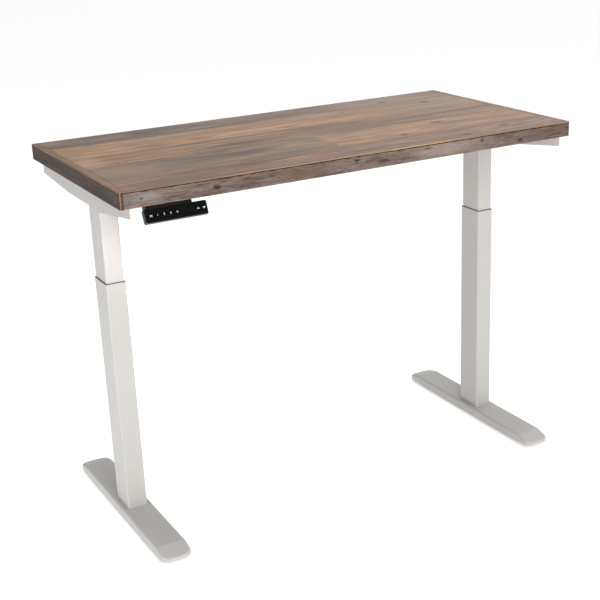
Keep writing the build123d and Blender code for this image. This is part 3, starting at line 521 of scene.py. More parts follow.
face_marks = [
    (0.20, 0.893, 0.12, 0.030, "#9C8A80", 0.45), (-0.545, 0.896, 0.045, 0.016, "#85807E", 0.5),
    (-0.17, 0.890, 0.10, 0.022, "#5C4231", 0.65), (0.50, 0.892, 0.10, 0.030, "#5C443C", 0.5),
    (-0.31, 0.884, 0.07, 0.014, "#43352E", 0.6), (-0.47, 0.886, 0.035, 0.006, "#3D3330", 0.35),
    (-0.43, 0.901, 0.03, 0.005, "#3B302C", 0.6), (0.10, 0.886, 0.05, 0.006, "#4A3A33", 0.6),
    (-0.560, 0.893, 0.006, 0.004, "#1D1514", 0.9), (-0.385, 0.891, 0.014, 0.008, "#211816", 0.9),
    (0.29, 0.893, 0.10, 0.030, "#968780", 0.3), (-0.03, 0.899, 0.012, 0.006, "#1D1514", 0.9),
    (0.045, 0.888, 0.03, 0.007, "#33251F", 0.8),
    (0.33, 0.899, 0.008, 0.005, "#241A17", 0.9), (0.45, 0.884, 0.014, 0.007, "#241A17", 0.8),
    (-0.25, 0.897, 0.016, 0.005, "#2C221E", 0.7), (0.17, 0.901, 0.020, 0.004, "#2C221E", 0.7),
]
sawn_face = sawn_pine("rough_sawn_pine", "#74635A", "#4C3C34", "#6F6967", face_marks)
# Painted shade: this near-black skin goes on the lip in the step below the golden edge. The old wood there is
# dark, and the shade of the step is painted into it as well.
dark_skin_and_shade = sawn_pine("old_dark_skin_painted_shade", "#231813", "#160F0C", "#2A211D", [])


# %% [markdown]
# ## The planks as meshes
# A plank is a bar with eased edges. Its outline is drawn once for each station along the bar and
# a skin is stretched over the stations. This way each station can differ a little: the eased
# edges wander, the top is not quite flat, and the sawn face is torn. Every point stays inside the
# box of the CAD part, because the wear only takes wood away.

# %% From points to an object
def solid(name, points, faces, numbers=(), finishes=(), smooth_angle=None):
    """An object from points and faces, with a finish number for each face. Its faces point outwards.
    With a smooth angle, only the edges that turn by more than that look sharp."""
    mesh = bpy.data.meshes.new(name)
    mesh.from_pydata(points, [], faces)
    for finish in finishes:
        mesh.materials.append(finish)
    for face, number in zip(mesh.polygons, numbers):
        face.material_index = number
        face.use_smooth = True
    work = bmesh.new()
    work.from_mesh(mesh)
    bmesh.ops.recalc_face_normals(work, faces=work.faces)
    work.to_mesh(mesh)
    work.free()
    if smooth_angle:
        mesh.set_sharp_from_angle(angle=math.radians(smooth_angle))
    piece = bpy.data.objects.new(name, mesh)
    scene.collection.objects.link(piece)
    return piece


def walls(rows, count):
    """Faces between closed rows of count points each, with a cap on the first and the last row."""
    faces = []
    for row in range(rows - 1):
        low, high = row * count, (row + 1) * count
        faces += [(low + k, low + (k + 1) % count, high + (k + 1) % count, high + k) for k in range(count)]
    return faces + [tuple(range(count)), tuple(range((rows - 1) * count, rows * count))]


# %% A skin over stations
def skin(name, stations, tags, finishes, smooth_angle=35):
    """Joins equal outlines into one closed mesh. tags holds the finish number of each strip."""
    points = [point for station in stations for point in station]
    numbers = list(tags) * (len(stations) - 1) + [0, 0]
    return solid(name, points, walls(len(stations), len(tags)), numbers, finishes, smooth_angle)


def bar_outline(across, up, eases, steps, inset=0.0, arc=4):
    """A rectangle with round corners as (across, up) points. eases go from low-low round by high-low."""
    (a0, a1), (b0, b1) = across, up
    corners = [(a0, b0, -1, -1, 180), (a1, b0, 1, -1, 270), (a1, b1, 1, 1, 0), (a0, b1, -1, 1, 90)]
    turns = []
    for (a, b, side_a, side_b, start), ease in zip(corners, eases):
        ease = max(ease, inset + 0.02 * MM)
        centre_a, centre_b, radius = a - side_a * ease, b - side_b * ease, ease - inset
        angles = [math.radians(start + 90 * i / arc) for i in range(arc + 1)]
        turns.append([(centre_a + radius * math.cos(angle), centre_b + radius * math.sin(angle))
                      for angle in angles])
    points, tags = [], []
    for k, (turn, run) in enumerate(zip(turns, steps)):
        points += turn
        tags += ["corner%d" % k] * arc + ["side%d" % k]
        (a, b), (c, d) = turn[-1], turns[(k + 1) % 4][0]
        points += [(a + (c - a) * i / run, b + (d - b) * i / run) for i in range(1, run)]
        tags += ["side%d" % k] * (run - 1)
    return points, tags


def stations_along(low, high, step, end_ease):
    """Places along a bar with how far the outline is drawn in there: both ends are eased."""
    runs = max(2, round((high - low - 2 * end_ease) / step))
    inner = [low + end_ease + (high - low - 2 * end_ease) * i / runs for i in range(runs + 1)]
    quarter = end_ease * (1 - math.sqrt(0.5))
    return ([(low, end_ease), (low + quarter, quarter)] + [(place, 0.0) for place in inner]
            + [(high - quarter, quarter), (high, end_ease)])


# %% [markdown]
# Inner edges between planks are eased by half a millimetre, which makes the fine groove that
# shows between two glued planks. The top face rolls by a tenth of a millimetre over its length.

# %% Lay the planks
ARRIS = 1.6 * MM
SEAM = 0.45 * MM
worktop_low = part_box("end_strip_left")[0]
worktop_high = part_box("end_strip_right")[1]


def roll(x, y, scale, depth, seed=0.0):
    """A smooth random hollow between 0 and depth."""
    return depth * (0.5 + 0.5 * noise.noise(Vector((x / scale[0], y / scale[1], seed))))


def lay_plank(node, finish):
    low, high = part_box(node)
    back = high.y > worktop_high.y - MM
    eases = (SEAM, ARRIS if back else SEAM, ARRIS if back else SEAM, SEAM)
    stations = []
    for x, inset in stations_along(low.x, high.x, 7 * MM, SEAM):
        points, tags = bar_outline((low.y, high.y), (low.z, high.z), eases, (12, 5, 24, 5), inset)
        station = []
        for y, z in points:
            on_top = z > high.z - 2 * MM
            sink = roll(x, y, (0.23, 0.035), 0.14 * MM, low.y) + 0.06 * MM if on_top else 0.0
            station.append((x, y, z - sink))
        stations.append(station)
    piece = skin(node + "_wood", stations, [0] * len(tags), [finish])
    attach(piece, "top")
    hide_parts(node)
    return piece


for node, finish in plank_finishes.items():
    if node != "top_board_front":
        lay_plank(node, finish)


# %% [markdown]
# The front plank carries the look of the whole desk. Its golden edge is narrow at the left and
# grows to the right, its lower end wanders, and below it a lip about a millimetre high is set back
# a little and made near black: old skin with painted shade. The sawn face has saw marks, torn
# patches and long waves, all cut inwards.
# A thin tongue of the plank laps over the front of both end strips, so the sawn face runs nearly
# to the corners: 9.6 mm short of the left one, and 4 mm short of the right one.

# %% The front plank
TONGUE = 6.0 * MM
FACE_ROWS = 24
front_low, front_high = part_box("top_board_front")
tongue_low = worktop_low.x + 9.6 * MM
tongue_high = worktop_high.x - 4.0 * MM


def edge_width(x):
    """Radius of the golden edge: some 1.7 mm at the left end, 2.8 mm at the right, never quite even."""
    share = (x - worktop_low.x) / (worktop_high.x - worktop_low.x)
    uneven = roll(x, 0, (0.045, 1), 0.8 * MM, 4.0) + roll(x, 0, (0.012, 1), 0.3 * MM, 6.0)
    return (1.2 + 1.1 * share) * MM + uneven


def torn(x, z):
    """How deep the sawn face is cut back at a place."""
    wave = roll(x, z, (0.13, 0.03), 0.5 * MM, 11.0)
    patch = max(0.0, noise.noise(Vector((x / 0.035, z / 0.008, 21.0))) - 0.1) * 1.1 * MM
    split = max(0.0, noise.noise(Vector((x / 0.05, z / 0.0035, 31.0))) - 0.2) * 0.5 * MM
    return wave + patch + split


def front_station(x, inset, back_y):
    """The outline of the front plank at x, with its wandering edge, dark lip and torn face."""
    edge = edge_width(x)
    worn_end = max(0.0, 1.0 - abs(x - worktop_low.x - 40 * MM) / (45 * MM))
    foot = 1.0 * MM + roll(x, 0, (0.02, 1), 1.6 * MM, 51.0) + 2.2 * MM * worn_end
    points, tags = bar_outline((front_low.y, back_y), (front_low.z, front_high.z),
                               (foot, SEAM, SEAM, edge), (12, 5, 20, FACE_ROWS), inset, arc=5)
    lip = roll(x, 0, (0.016, 1), 2.8 * MM, 71.0) + 0.9 * MM
    top_end = front_high.z - edge
    station = []
    for (y, z), tag in zip(points, tags):
        if tag == "side3" and y < front_low.y + 0.5 * MM:
            share = (top_end - z) / (top_end - (front_low.z + foot))
            row = round(share * FACE_ROWS)
            if row == 1:
                z = top_end - lip
            fade = min(1.0, share * 7, (1 - share) * 9)
            y += (torn(x, z) + 0.35 * MM) * fade if row else 0.0
        elif z > front_high.z - 0.3 * MM and y > front_low.y + edge:
            z -= roll(x, y, (0.23, 0.035), 0.14 * MM, front_low.y) + 0.06 * MM
        station.append((x, y, z))
    return station, tags


stations = []
for x, inset in stations_along(tongue_low, tongue_high, 2.4 * MM, 0.1 * MM):
    in_tongue = x < front_low.x or x > front_high.x
    station, tags = front_station(x, inset, front_low.y + TONGUE if in_tongue else front_high.y)
    stations.append(station)
part_of_face = {"corner0": 2, "corner3": 1, "side3": 2}
numbers = [part_of_face.get(tag, 0) for tag in tags]
# The lip, the first strip of the sawn face, takes the near-black skin: painted shade in the step under the golden
# edge.
numbers[tags.index("side3")] = 3
front_plank = skin("top_board_front_wood", stations, numbers,
                   [plank_finishes["top_board_front"], golden, sawn_face, dark_skin_and_shade], 60)
for face in front_plank.data.polygons:
    near_end = face.center.x < worktop_low.x + 70 * MM
    if near_end and face.center.z < front_low.z + 2.6 * MM and face.center.y < front_low.y + 3 * MM:
        face.material_index = 1
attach(front_plank, "top")
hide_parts("top_board_front")
print("front plank has", len(front_plank.data.polygons), "faces")

# %% [markdown]
# Narrow strips close the two ends of the worktop. Their outer face is old, dark and smooth, their
# edges are rubbed light, and their outer corners are rounded in plan with a 5 mm radius. A light
# band down each rounded front corner is rubbed wood with a painted highlight. At the front each
# strip is cut back to let the tongue of the front plank pass.

# %% End strips
PLAN_CORNER = 5.0 * MM
CORNER_ARC = 6


def corner_places(low, high):
    """Places along a strip, closely spaced where its corners turn."""
    turn = [PLAN_CORNER * (1 - math.cos(math.pi / 2 * i / CORNER_ARC)) for i in range(CORNER_ARC + 1)]
    notch = low + TONGUE
    runs = round((high - low - 2 * TONGUE) / (6 * MM))
    middle = [notch + 0.01 * MM + (high - low - 2 * TONGUE) * i / runs for i in range(runs + 1)]
    return [low + t for t in turn] + [notch] + middle + [high - t for t in reversed(turn)]


def lay_strip(node, tongue_end, end_finish):
    low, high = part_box(node)
    is_left = low.x < 0
    outer, inner = (low.x, high.x) if is_left else (high.x, low.x)
    side = 1 if is_left else -1
    stations = []
    for y in corner_places(low.y, high.y):
        from_end = min(y - low.y, high.y - y, PLAN_CORNER)
        cut = PLAN_CORNER - math.sqrt(PLAN_CORNER ** 2 - (PLAN_CORNER - from_end) ** 2)
        near, far = outer + side * cut, tongue_end if y <= low.y + TONGUE else inner
        across = (min(near, far), max(near, far))
        eases = (1.2 * MM, SEAM, SEAM, 1.7 * MM) if is_left else (SEAM, 1.2 * MM, 1.7 * MM, SEAM)
        points, tags = bar_outline(across, (low.z, high.z), eases, (4, 8, 4, 8), 0.0)
        stations.append([(x, y, z - (0.1 * MM if z > high.z - 0.2 * MM else 0.0)) for x, z in points])
    outer_tags = ("side3", "corner0") if is_left else ("side1", "corner1")
    edge_tag = "corner3" if is_left else "corner2"
    numbers = [1 if tag in outer_tags else 2 if tag == edge_tag else 0 for tag in tags]
    piece = skin(node + "_wood", stations, numbers, [strip_finish, patina, rubbed_edge_and_highlight, end_finish], 50)
    # The front face takes the end finish. Faces of the rounded corner just behind it take the light rubbed finish:
    # rubbed wood, with a painted highlight down the corner.
    for face in piece.data.polygons:
        if face.center.y < low.y + 0.05 * MM:
            face.material_index = 3
        elif low.y + 0.3 * MM < face.center.y < low.y + 1.3 * MM and face.material_index == 1:
            face.material_index = 2
    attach(piece, "top")
    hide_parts(node)


lay_strip("end_strip_left", tongue_low, patina)
lay_strip("end_strip_right", tongue_high, rubbed_edge_and_highlight)


# %% [markdown]
# ## Turned and moulded small parts
# Screws, bolts, levelling feet, motors and keys are all round, so one function spins them: rows
# of radius and height, where a radius may also depend on the angle. That is enough for a hexagon
# socket, a cross recess, a fluted rim or a screw thread. Each piece then takes the place of a part
# of the frame and rides on the same body.

# %% Spinning rows about an axis
body_of = {node: body for body, held in frame["record"]["behaviour"]["bodies"].items() for node in held}


def turn(rows, place=Matrix(), segments=48):
    """Spins (radius, height) rows about Z and caps both ends. Returns points and faces."""
    points = []
    for radius, height in rows:
        for k in range(segments):
            angle = 2 * math.pi * k / segments
            reach = radius(angle) if callable(radius) else radius
            points.append(place @ Vector((reach * math.cos(angle), reach * math.sin(angle), height)))
    return points, walls(len(rows), segments)


def gather(shapes):
    """Joins (points, faces, finish number) shapes into one list of each."""
    points, faces, numbers = [], [], []
    for shape_points, shape_faces, number in shapes:
        faces += [tuple(len(points) + corner for corner in face) for face in shape_faces]
        points += shape_points
        numbers += [number] * len(shape_faces)
    return points, faces, numbers


def dress(name, shapes, finishes, node, hides=True, smooth_angle=35):
    """One object from several (points, faces, finish number) shapes, in the place of a node."""
    piece = solid(name, *gather(shapes), finishes, smooth_angle)
    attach(piece, body_of[node])
    if hides:
        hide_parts(node)
    return piece


# %% [markdown]
# All the fasteners point up into the desk. The wood screws have pan heads with a cross recess,
# the machine screws of the frame and the feet have low round heads with a hexagon socket. Their
# places, lengths and head sizes are measured on the frame's parts. A recess is cut by letting the
# innermost rows turn from a circle into the shape of the driver.

# %% Screws and bolts
def hexagon(across_flats):
    return lambda angle: across_flats / 2 / math.cos((angle % (math.pi / 3)) - math.pi / 6)


def cross(arm, half_width):
    def reach(angle):
        off = abs((angle + math.pi / 4) % (math.pi / 2) - math.pi / 4)
        return arm / math.cos(off) if off < math.atan(half_width / arm) else half_width / math.sin(off)
    return reach


def islands(node, apart=14 * MM):
    """The points of each separate round solid of a node, told apart by their plan places."""
    groups = []
    for vertex in nodes[node].data.vertices:
        for group in groups:
            if (vertex.co.xy - group[0].xy).length < apart:
                group.append(vertex.co)
                break
        else:
            groups.append([vertex.co])
    return groups


def fastener(group, recess):
    """A screw that points up, with its head below: seat, shank and head come from its own points."""
    centre = Vector((sum(f(p[i] for p in group) for f in (min, max)) / 2 for i in (0, 1)))
    reach = [(p.xy - centre).length for p in group]
    head = max(reach)
    low, tip = min(p.z for p in group), max(p.z for p in group)
    seat = max(p.z for p, far in zip(group, reach) if far > 0.95 * head)
    shank = min(far for far in reach if far > 0.5 * MM)
    height = seat - low
    rows = [(0.25 * shank, tip), (0.96 * shank, tip - 0.7 * shank), (0.96 * shank, seat), (0.96 * head, seat),
            (head, seat - 0.1 * height), (head, seat - 0.4 * height), (0.95 * head, seat - 0.66 * height),
            (0.82 * head, seat - 0.87 * height), (0.66 * head, seat - 0.97 * height), (0.6 * head, low),
            (recess(0.46 * head), low), (recess(0.44 * head), low + 0.05 * height),
            (recess(0.40 * head), low + 0.6 * height)]
    return turn(rows, Matrix.Translation((centre.x, centre.y, 0)))


def cross_recess(arm):
    return cross(arm * 1.15, arm * 0.24)


def hex_recess(arm):
    return hexagon(arm * 2)


for node in nodes:
    if node == "wood_screws" or node.startswith(("frame_bolts", "foot_bolts")):
        recess = cross_recess if node == "wood_screws" else hex_recess
        shapes = [fastener(group, recess) + (0,) for group in islands(node)]
        dress(node + "_turned", shapes, [zinc], node)
        print(node, "has", len(shapes), "screws")


# %% [markdown]
# A levelling foot is a nylon pad with a fluted rim, moulded on a zinc-plated M8 stud. The thread
# is a real helix: the radius depends on the angle plus the height over the pitch of 1.25 mm.

# %% Levelling feet
def thread(radius, depth, pitch, height):
    """A rounded thread's radius at one height, for any angle."""
    def reach(angle):
        turns = height / pitch + angle / (2 * math.pi)
        return radius - depth * (0.5 - 0.5 * math.cos(2 * math.pi * turns))
    return reach


def fluted(radius):
    """A pad's radius with the grip's hollows, which are deepest at FLUTES places round it."""
    return lambda angle: radius - FLUTE * (0.5 + 0.5 * math.cos(FLUTES * angle)) ** 2


PITCH = 1.25 * MM
STUD = 4.0 * MM
PAD_TOP = 7.0 * MM
FLUTES = 18
FLUTE = 0.9 * MM
for node in nodes:
    if not node.startswith("leveler_"):
        continue
    low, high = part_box(node)
    middle = (low + high) / 2
    pad = (high.x - low.x) / 2
    place = Matrix.Translation((middle.x, middle.y, low.z))
    pad_rows = [(pad - 3.2 * MM, 0.4 * MM), (pad - 2.6 * MM, 0.0), (pad - 1.2 * MM, 0.0),
                (fluted(pad - 0.4 * MM), 0.5 * MM), (fluted(pad), 1.2 * MM), (fluted(pad), 5.4 * MM),
                (fluted(pad - 0.5 * MM), 6.2 * MM), (pad - 1.8 * MM, 6.6 * MM),
                (pad - 4.5 * MM, 6.6 * MM), (7.0 * MM, PAD_TOP), (3.4 * MM, PAD_TOP)]
    top = high.z - low.z
    count = int((top - PAD_TOP - 0.8 * MM) / (PITCH / 6))
    heights = [PAD_TOP + i * PITCH / 6 for i in range(count)]
    stud_rows = [(3.0 * MM, PAD_TOP - 0.1 * MM)]
    stud_rows += [(thread(STUD, 0.65 * MM, PITCH, height), height) for height in heights]
    stud_rows += [(3.1 * MM, top - 0.3 * MM), (2.6 * MM, top)]
    dress(node + "_moulded", [turn(pad_rows, place, 108) + (0,), turn(stud_rows, place, 24) + (1,)],
          [foot_nylon, zinc], node)
print("levelling feet made")

# %% [markdown]
# The motors lie along the worktop behind the gearboxes: a painted can that is rolled and crimped
# onto a cast end shield, with two shallow beads round it and a turned worm at the drive end.

# %% Motors
WORM = 50 * MM
WORM_PITCH = 6 * MM
for name, side in (("left", -1), ("right", 1)):
    node = "motor_" + name
    low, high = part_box(node)
    can = (high.z - low.z) / 2
    worm_tip = high.x if side > 0 else low.x
    face = worm_tip - side * WORM
    cap = low.x if side > 0 else high.x
    axis_y, axis_z = (low.y + high.y) / 2, (low.z + high.z) / 2
    length = abs(face - cap)
    along = Matrix(((0, 0, -side, face), (1, 0, 0, axis_y), (0, -side, 0, axis_z), (0, 0, 0, 1)))
    shield = [(9 * MM, 0.0), (15 * MM, 0.0), (15.5 * MM, 0.6 * MM), (can - 2 * MM, 0.6 * MM),
              (can - 0.9 * MM, 1.4 * MM), (can - 0.9 * MM, 8 * MM), (can - 1.5 * MM, 8.2 * MM)]
    body_rows = [(can - 3 * MM, 7.8 * MM), (can - 0.3 * MM, 7.8 * MM), (can, 8.2 * MM)]
    for bead in (14 * MM, length - 16 * MM):
        body_rows += [(can, bead - 1.2 * MM), (can - 0.7 * MM, bead - 0.5 * MM),
                      (can - 0.7 * MM, bead + 0.5 * MM), (can, bead + 1.2 * MM)]
    body_rows += [(can, length - 3.0 * MM), (can - 0.45 * MM, length - 1.5 * MM),
                  (can - 1.5 * MM, length - 0.45 * MM), (can - 3.0 * MM, length), (11 * MM, length),
                  (10.6 * MM, length - 0.5 * MM), (9 * MM, length - 0.5 * MM), (8.6 * MM, length),
                  (2 * MM, length)]
    worm_place = along @ Matrix.Translation((0, side * 5 * MM, 0)) @ Matrix.Rotation(math.pi, 4, "X")
    worm_rows = [(3 * MM, -2 * MM), (4 * MM, 0.0), (4 * MM, 8 * MM)]
    worm_rows += [(thread(5.5 * MM, 1.6 * MM, WORM_PITCH, z * MM), z * MM) for z in range(9, 42)]
    worm_rows += [(4 * MM, 42 * MM), (4 * MM, WORM - 0.4 * MM), (3.6 * MM, WORM)]
    shapes = [turn(shield, along, 72) + (1,), turn(body_rows, along, 72) + (0,),
              turn(worm_rows, worm_place, 36) + (2,)]
    dress(node + "_can", shapes, [motor_paint, cast_aluminium, zinc], node)
print("motors made, cans of radius", round(can / MM, 1), "mm")

# %% [markdown]
# ## The keypad
# A slim black keypad hangs under the front edge, left of the middle. Its front is a polished ABS
# bezel, with its long edges rounded off so that they catch the light, and with round holes for
# seven dished keys: M for memory, 1 to 4, up and down. The bezel is a loft of rounded rectangles
# with the holes cut out by a boolean, then eased by a fine bevel.

# %% Keypad axes
press = Vector(joints["key_up_press"]["axis"]).normalized()
face_out = -press
face_right = Vector((1, 0, 0))
face_up = face_out.cross(face_right)
pad_axes = Matrix((face_right, face_up, face_out)).transposed()


def face_span(node):
    """How far a node reaches along the keypad's right, up and out directions."""
    spots = [pad_axes.transposed() @ vertex.co for vertex in nodes[node].data.vertices]
    return [(min(spot[i] for spot in spots), max(spot[i] for spot in spots)) for i in range(3)]


def face_place(right, up, out):
    """A matrix for a shape that stands on the keypad's face."""
    return Matrix.Translation(pad_axes @ Vector((right, up, out))) @ pad_axes.to_4x4()


(bezel_left, bezel_right), (bezel_down, bezel_up), (bezel_back, bezel_front) = face_span("keypad_bezel")
bezel_middle = ((bezel_left + bezel_right) / 2, (bezel_down + bezel_up) / 2)
half_wide, half_tall = (bezel_right - bezel_left) / 2, (bezel_up - bezel_down) / 2


# %% Bezel
def rounded_slab(half_a, half_b, corner, levels, place, arc=6):
    """Rounded rectangles, drawn in by an inset at each height, joined and capped."""
    points = []
    for inset, height in levels:
        for side_a, side_b, start in ((1, 1, 0), (-1, 1, 90), (-1, -1, 180), (1, -1, 270)):
            for i in range(arc + 1):
                angle = math.radians(start + 90 * i / arc)
                radius = max(0.3 * MM, corner - inset)
                a = side_a * (half_a - corner) + radius * math.cos(angle)
                b = side_b * (half_b - corner) + radius * math.sin(angle)
                points.append(place @ Vector((a, b, height)))
    return points, walls(len(levels), 4 * (arc + 1))


ROUND = 2.4 * MM
ROUND_STEPS = 8
BEZEL_CORNER = 4 * MM
KEY_HOLE = 5.8 * MM
bezel_place = face_place(*bezel_middle, bezel_front)
levels = [(0.0, bezel_back - bezel_front)]
for i in range(ROUND_STEPS + 1):
    angle = math.pi / 2 * i / ROUND_STEPS
    levels.append((ROUND * (1 - math.cos(angle)), ROUND * (math.sin(angle) - 1)))
key_spans = {node: face_span(node) for node in nodes if node.startswith("key_")}
slab = rounded_slab(half_wide, half_tall, BEZEL_CORNER, levels, bezel_place)
bezel = dress("keypad_bezel_moulded", [slab + (0,)], [face_abs], "keypad_bezel")
print("bezel", round(2 * half_wide / MM, 1), "by", round(2 * half_tall / MM, 1), "mm, holes:", len(key_spans))

# %% Holes in the bezel
cutters = []
for (left, right), (down, up), (back, front) in key_spans.values():
    place = face_place((left + right) / 2, (down + up) / 2, bezel_front)
    cutters.append(turn([(KEY_HOLE, -4 * MM), (KEY_HOLE, 1 * MM)], place) + (0,))
(left, right), (down, up), (back, front) = face_span("keypad_display")
place = face_place((left + right) / 2, (down + up) / 2, front)
window_levels = [(0.0, back - front), (0.0, 1 * MM)]
window = rounded_slab((right - left) / 2, (up - down) / 2, 0.4 * MM, window_levels, place, 1)
cutters.append(window + (0,))
cutter = solid("keypad_cutters", *gather(cutters)[:2])
holes = bezel.modifiers.new("holes", "BOOLEAN")
holes.object = cutter
holes.operation = "DIFFERENCE"
holes.solver = "EXACT"
easing = bezel.modifiers.new("easing", "BEVEL")
easing.width = 0.22 * MM
easing.segments = 2
easing.limit_method = "ANGLE"
easing.angle_limit = math.radians(50)
seen_by = bpy.context.evaluated_depsgraph_get()
cut_bezel = bpy.data.meshes.new_from_object(bezel.evaluated_get(seen_by))
bezel.modifiers.clear()
bezel.data = cut_bezel
bpy.data.objects.remove(cutter)
cut_bezel.set_sharp_from_angle(angle=math.radians(30))
cut_bezel.materials.append(gloss_abs)
for face in cut_bezel.polygons:
    right, up, out = pad_axes.transposed() @ face.center
    from_side = half_wide - abs(right - bezel_middle[0])
    from_edge = half_tall - abs(up - bezel_middle[1])
    face.material_index = 1 if min(from_side, from_edge) < ROUND * 0.8 else 0
print("bezel has", len(cut_bezel.polygons), "faces")

# %% [markdown]
# Each key is a satin cap with a dished top and a rounded rim, on a flange that keeps it in the
# bezel. The printed legends are thin pale signs that lie in the dish: digits turned from text into
# a mesh, and an M and two arrow heads drawn as outlines. They ride on their key, so they move when
# it is pressed.

# %% Keys and legends
DIGITS = {"one": "1", "two": "2", "three": "3", "four": "4"}
SIGNS = {
    "memory": [(-2.4, -2.4), (-2.4, 2.4), (-1.5, 2.4), (0.0, 0.3), (1.5, 2.4), (2.4, 2.4), (2.4, -2.4),
               (1.5, -2.4), (1.5, 0.9), (0.0, -1.1), (-1.5, 0.9), (-1.5, -2.4)],
    "up": [(-3.6, -1.7), (0.0, 2.3), (3.6, -1.7), (2.2, -1.7), (0.0, 0.1), (-2.2, -1.7)],
    "down": [(-3.3, 1.8), (3.3, 1.8), (0.0, -2.3)],
}
INK = 0.03 * MM
DIGIT = 6.9 * MM
KEY_CAP = 5.5 * MM
KEY_RIM = 0.9 * MM


def digit_shape(text, size):
    """Points and faces of a digit from Blender's own font, lying flat around its middle."""
    curve = bpy.data.curves.new("digit", "FONT")
    curve.body = text
    curve.size = size
    curve.align_x = "CENTER"
    curve.align_y = "CENTER"
    curve.offset = 0.05 * MM
    curve.extrude = INK
    holder = bpy.data.objects.new("digit", curve)
    scene.collection.objects.link(holder)
    seen_by = bpy.context.evaluated_depsgraph_get()
    mesh = bpy.data.meshes.new_from_object(holder.evaluated_get(seen_by))
    points = [vertex.co.copy() for vertex in mesh.vertices]
    faces = [tuple(face.vertices) for face in mesh.polygons]
    bpy.data.objects.remove(holder)
    return points, faces


def sign_shape(corners):
    """A flat prism over an outline given in millimetres."""
    count = len(corners)
    points = [Vector((x * MM, y * MM, z)) for z in (-INK, INK) for x, y in corners]
    return points, walls(2, count)


for node, ((left, right), (down, up), (back, front)) in key_spans.items():
    key = node[len("key_"):]
    place = face_place((left + right) / 2, (down + up) / 2, front)
    flange, depth = (right - left) / 2, front - back
    rim = [(KEY_CAP - KEY_RIM + KEY_RIM * math.sin(a), -0.35 * MM * (1 - math.cos(a)))
           for a in [math.pi / 2 * i / 6 for i in range(7)]]
    rows = [(0.4 * MM, -0.14 * MM), (2.4 * MM, -0.12 * MM), (3.6 * MM, -0.07 * MM)] + rim
    rows += [(KEY_CAP, -3.1 * MM), (flange, -3.1 * MM), (flange, -4.1 * MM), (2 * MM, -4.1 * MM),
             (2 * MM, -depth)]
    dress(node + "_moulded", [turn(rows, place) + (0,)], [key_plastic], node)
    points, faces = digit_shape(DIGITS[key], DIGIT) if key in DIGITS else sign_shape(SIGNS[key])
    stand = face_place((left + right) / 2, (down + up) / 2, front - 0.08 * MM)
    shape = ([stand @ point for point in points], faces, 0)
    dress(node + "_legend", [shape], [legend_ink], node, hides=False)
print("keys:", ", ".join(sorted(key_spans)))


# %% [markdown]
# ## Sockets of the control box
# Through the openings of the control box the sockets can be seen: three black ones for the motors
# and the keypad towards the user, and the inlet for the mains at the back. They stand on a green
# circuit board, next to two big round capacitors in dark sleeves with bare aluminium tops. A
# socket is a block with a deep pocket, which the outline turns into at its mouth. Three flat
# plated pins stand in the pocket of the inlet.

# %% Circuit board and sockets
board_low, board_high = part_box("control_board")
case_low, case_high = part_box("control_case")
BOARD = 1.6 * MM
SOCKET_RISE = 14 * MM
MOTOR_SOCKETS = (-60 * MM, -20 * MM, 20 * MM)
INLET = 60 * MM
CAPACITORS = ((-50 * MM, 185 * MM), (5 * MM, 185 * MM))


def block(low, high, corner=0.4 * MM):
    """An upright slab with slightly rounded corners between two places."""
    centre = Matrix.Translation(((low[0] + high[0]) / 2, (low[1] + high[1]) / 2, low[2]))
    sides = ((high[0] - low[0]) / 2, (high[1] - low[1]) / 2)
    levels = [(corner, 0.0), (0.0, corner), (0.0, high[2] - low[2] - corner), (corner, high[2] - low[2])]
    return rounded_slab(*sides, corner * 2, levels, centre, 2)


def socket(x, mouth_y, facing, size, deep):
    """A block with a pocket, its mouth at mouth_y and facing along Y."""
    wide, tall = size
    middle = Vector((x, mouth_y, case_low.z + SOCKET_RISE))
    turned = Matrix.Translation(middle) @ Matrix.Rotation(math.pi / 2, 4, "X")
    levels = [(0.0, -deep * facing), (0.0, 0.0), (1.6 * MM, 0.0), (2.0 * MM, -0.4 * MM * facing),
              (2.0 * MM, -0.7 * deep * facing)]
    levels = [(inset, -height) for inset, height in levels]
    return rounded_slab(wide / 2, tall / 2, 2.4 * MM, levels, turned, 3)


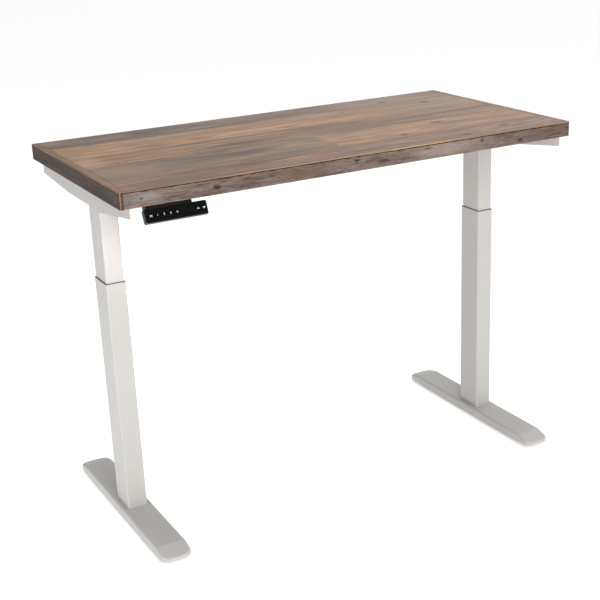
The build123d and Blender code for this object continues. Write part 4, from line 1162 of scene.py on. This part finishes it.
shapes = [block(board_low, (board_high.x, board_high.y, board_low.z + BOARD)) + (0,)]
for x in MOTOR_SOCKETS:
    shapes.append(socket(x, case_low.y + 2.7 * MM, -1, (20 * MM, 14 * MM), 13 * MM) + (1,))
inlet_mouth = case_high.y - 4.7 * MM
shapes.append(socket(INLET, inlet_mouth, 1, (31 * MM, 16 * MM), 15 * MM) + (1,))
for aside, rise in ((-7 * MM, -1.5 * MM), (0.0, 1.5 * MM), (7 * MM, -1.5 * MM)):
    x, y, z = INLET + aside, inlet_mouth - 2.5 * MM, case_low.z + SOCKET_RISE + rise
    pin = block((x - 1 * MM, y - 9 * MM, z - 2 * MM), (x + 1 * MM, y, z + 2 * MM))
    shapes.append(pin + (3,))
for x, y in CAPACITORS:
    stand = Matrix.Translation((x, y, board_low.z + BOARD))
    sleeve = [(9 * MM, 0.0), (10.6 * MM, 0.0), (11 * MM, 0.5 * MM), (11 * MM, 18.8 * MM),
              (10.4 * MM, 19.8 * MM), (9.4 * MM, 19.8 * MM)]
    lid = [(9.6 * MM, 19.0 * MM), (9.5 * MM, 19.4 * MM), (2 * MM, 19.4 * MM)]
    shapes += [turn(sleeve, stand) + (1,), turn(lid, stand) + (2,)]
dress("control_board_assembled", shapes, [solder_mask, matt_abs, cast_aluminium, zinc], "control_board")
print("control box sockets made")


# %% [markdown]
# ## Finishes for the parts that keep their CAD shape
# Tubes, rails, feet, bushes and boards already have the right shape. They only need their finish:
# every face's slot on the part's object is set to the finish of its material. Smooth shading is
# left as it came.

# %% Dress the CAD parts
slot_finishes = {
    "powder_coat": grey_coat, "zinc_steel": zinc, "guide_plastic": acetal,
    "cast_aluminium": cast_aluminium, "motor_steel": motor_paint, "gear_plastic": nylon,
    "nut_brass": brass, "leveler_plastic": foot_nylon, "black_abs": matt_abs, "gloss_abs": gloss_abs,
    "key_plastic": key_plastic, "smoked_window": smoked_acrylic, "circuit_board": solder_mask,
}
for part in frame["record"]["subparts"]:
    finish = slot_finishes.get(part["material_slot"])
    if finish:
        mesh = nodes[part["node"]].data
        if not mesh.materials:
            mesh.materials.append(finish)
        for place in range(len(mesh.materials)):
            mesh.materials[place] = finish
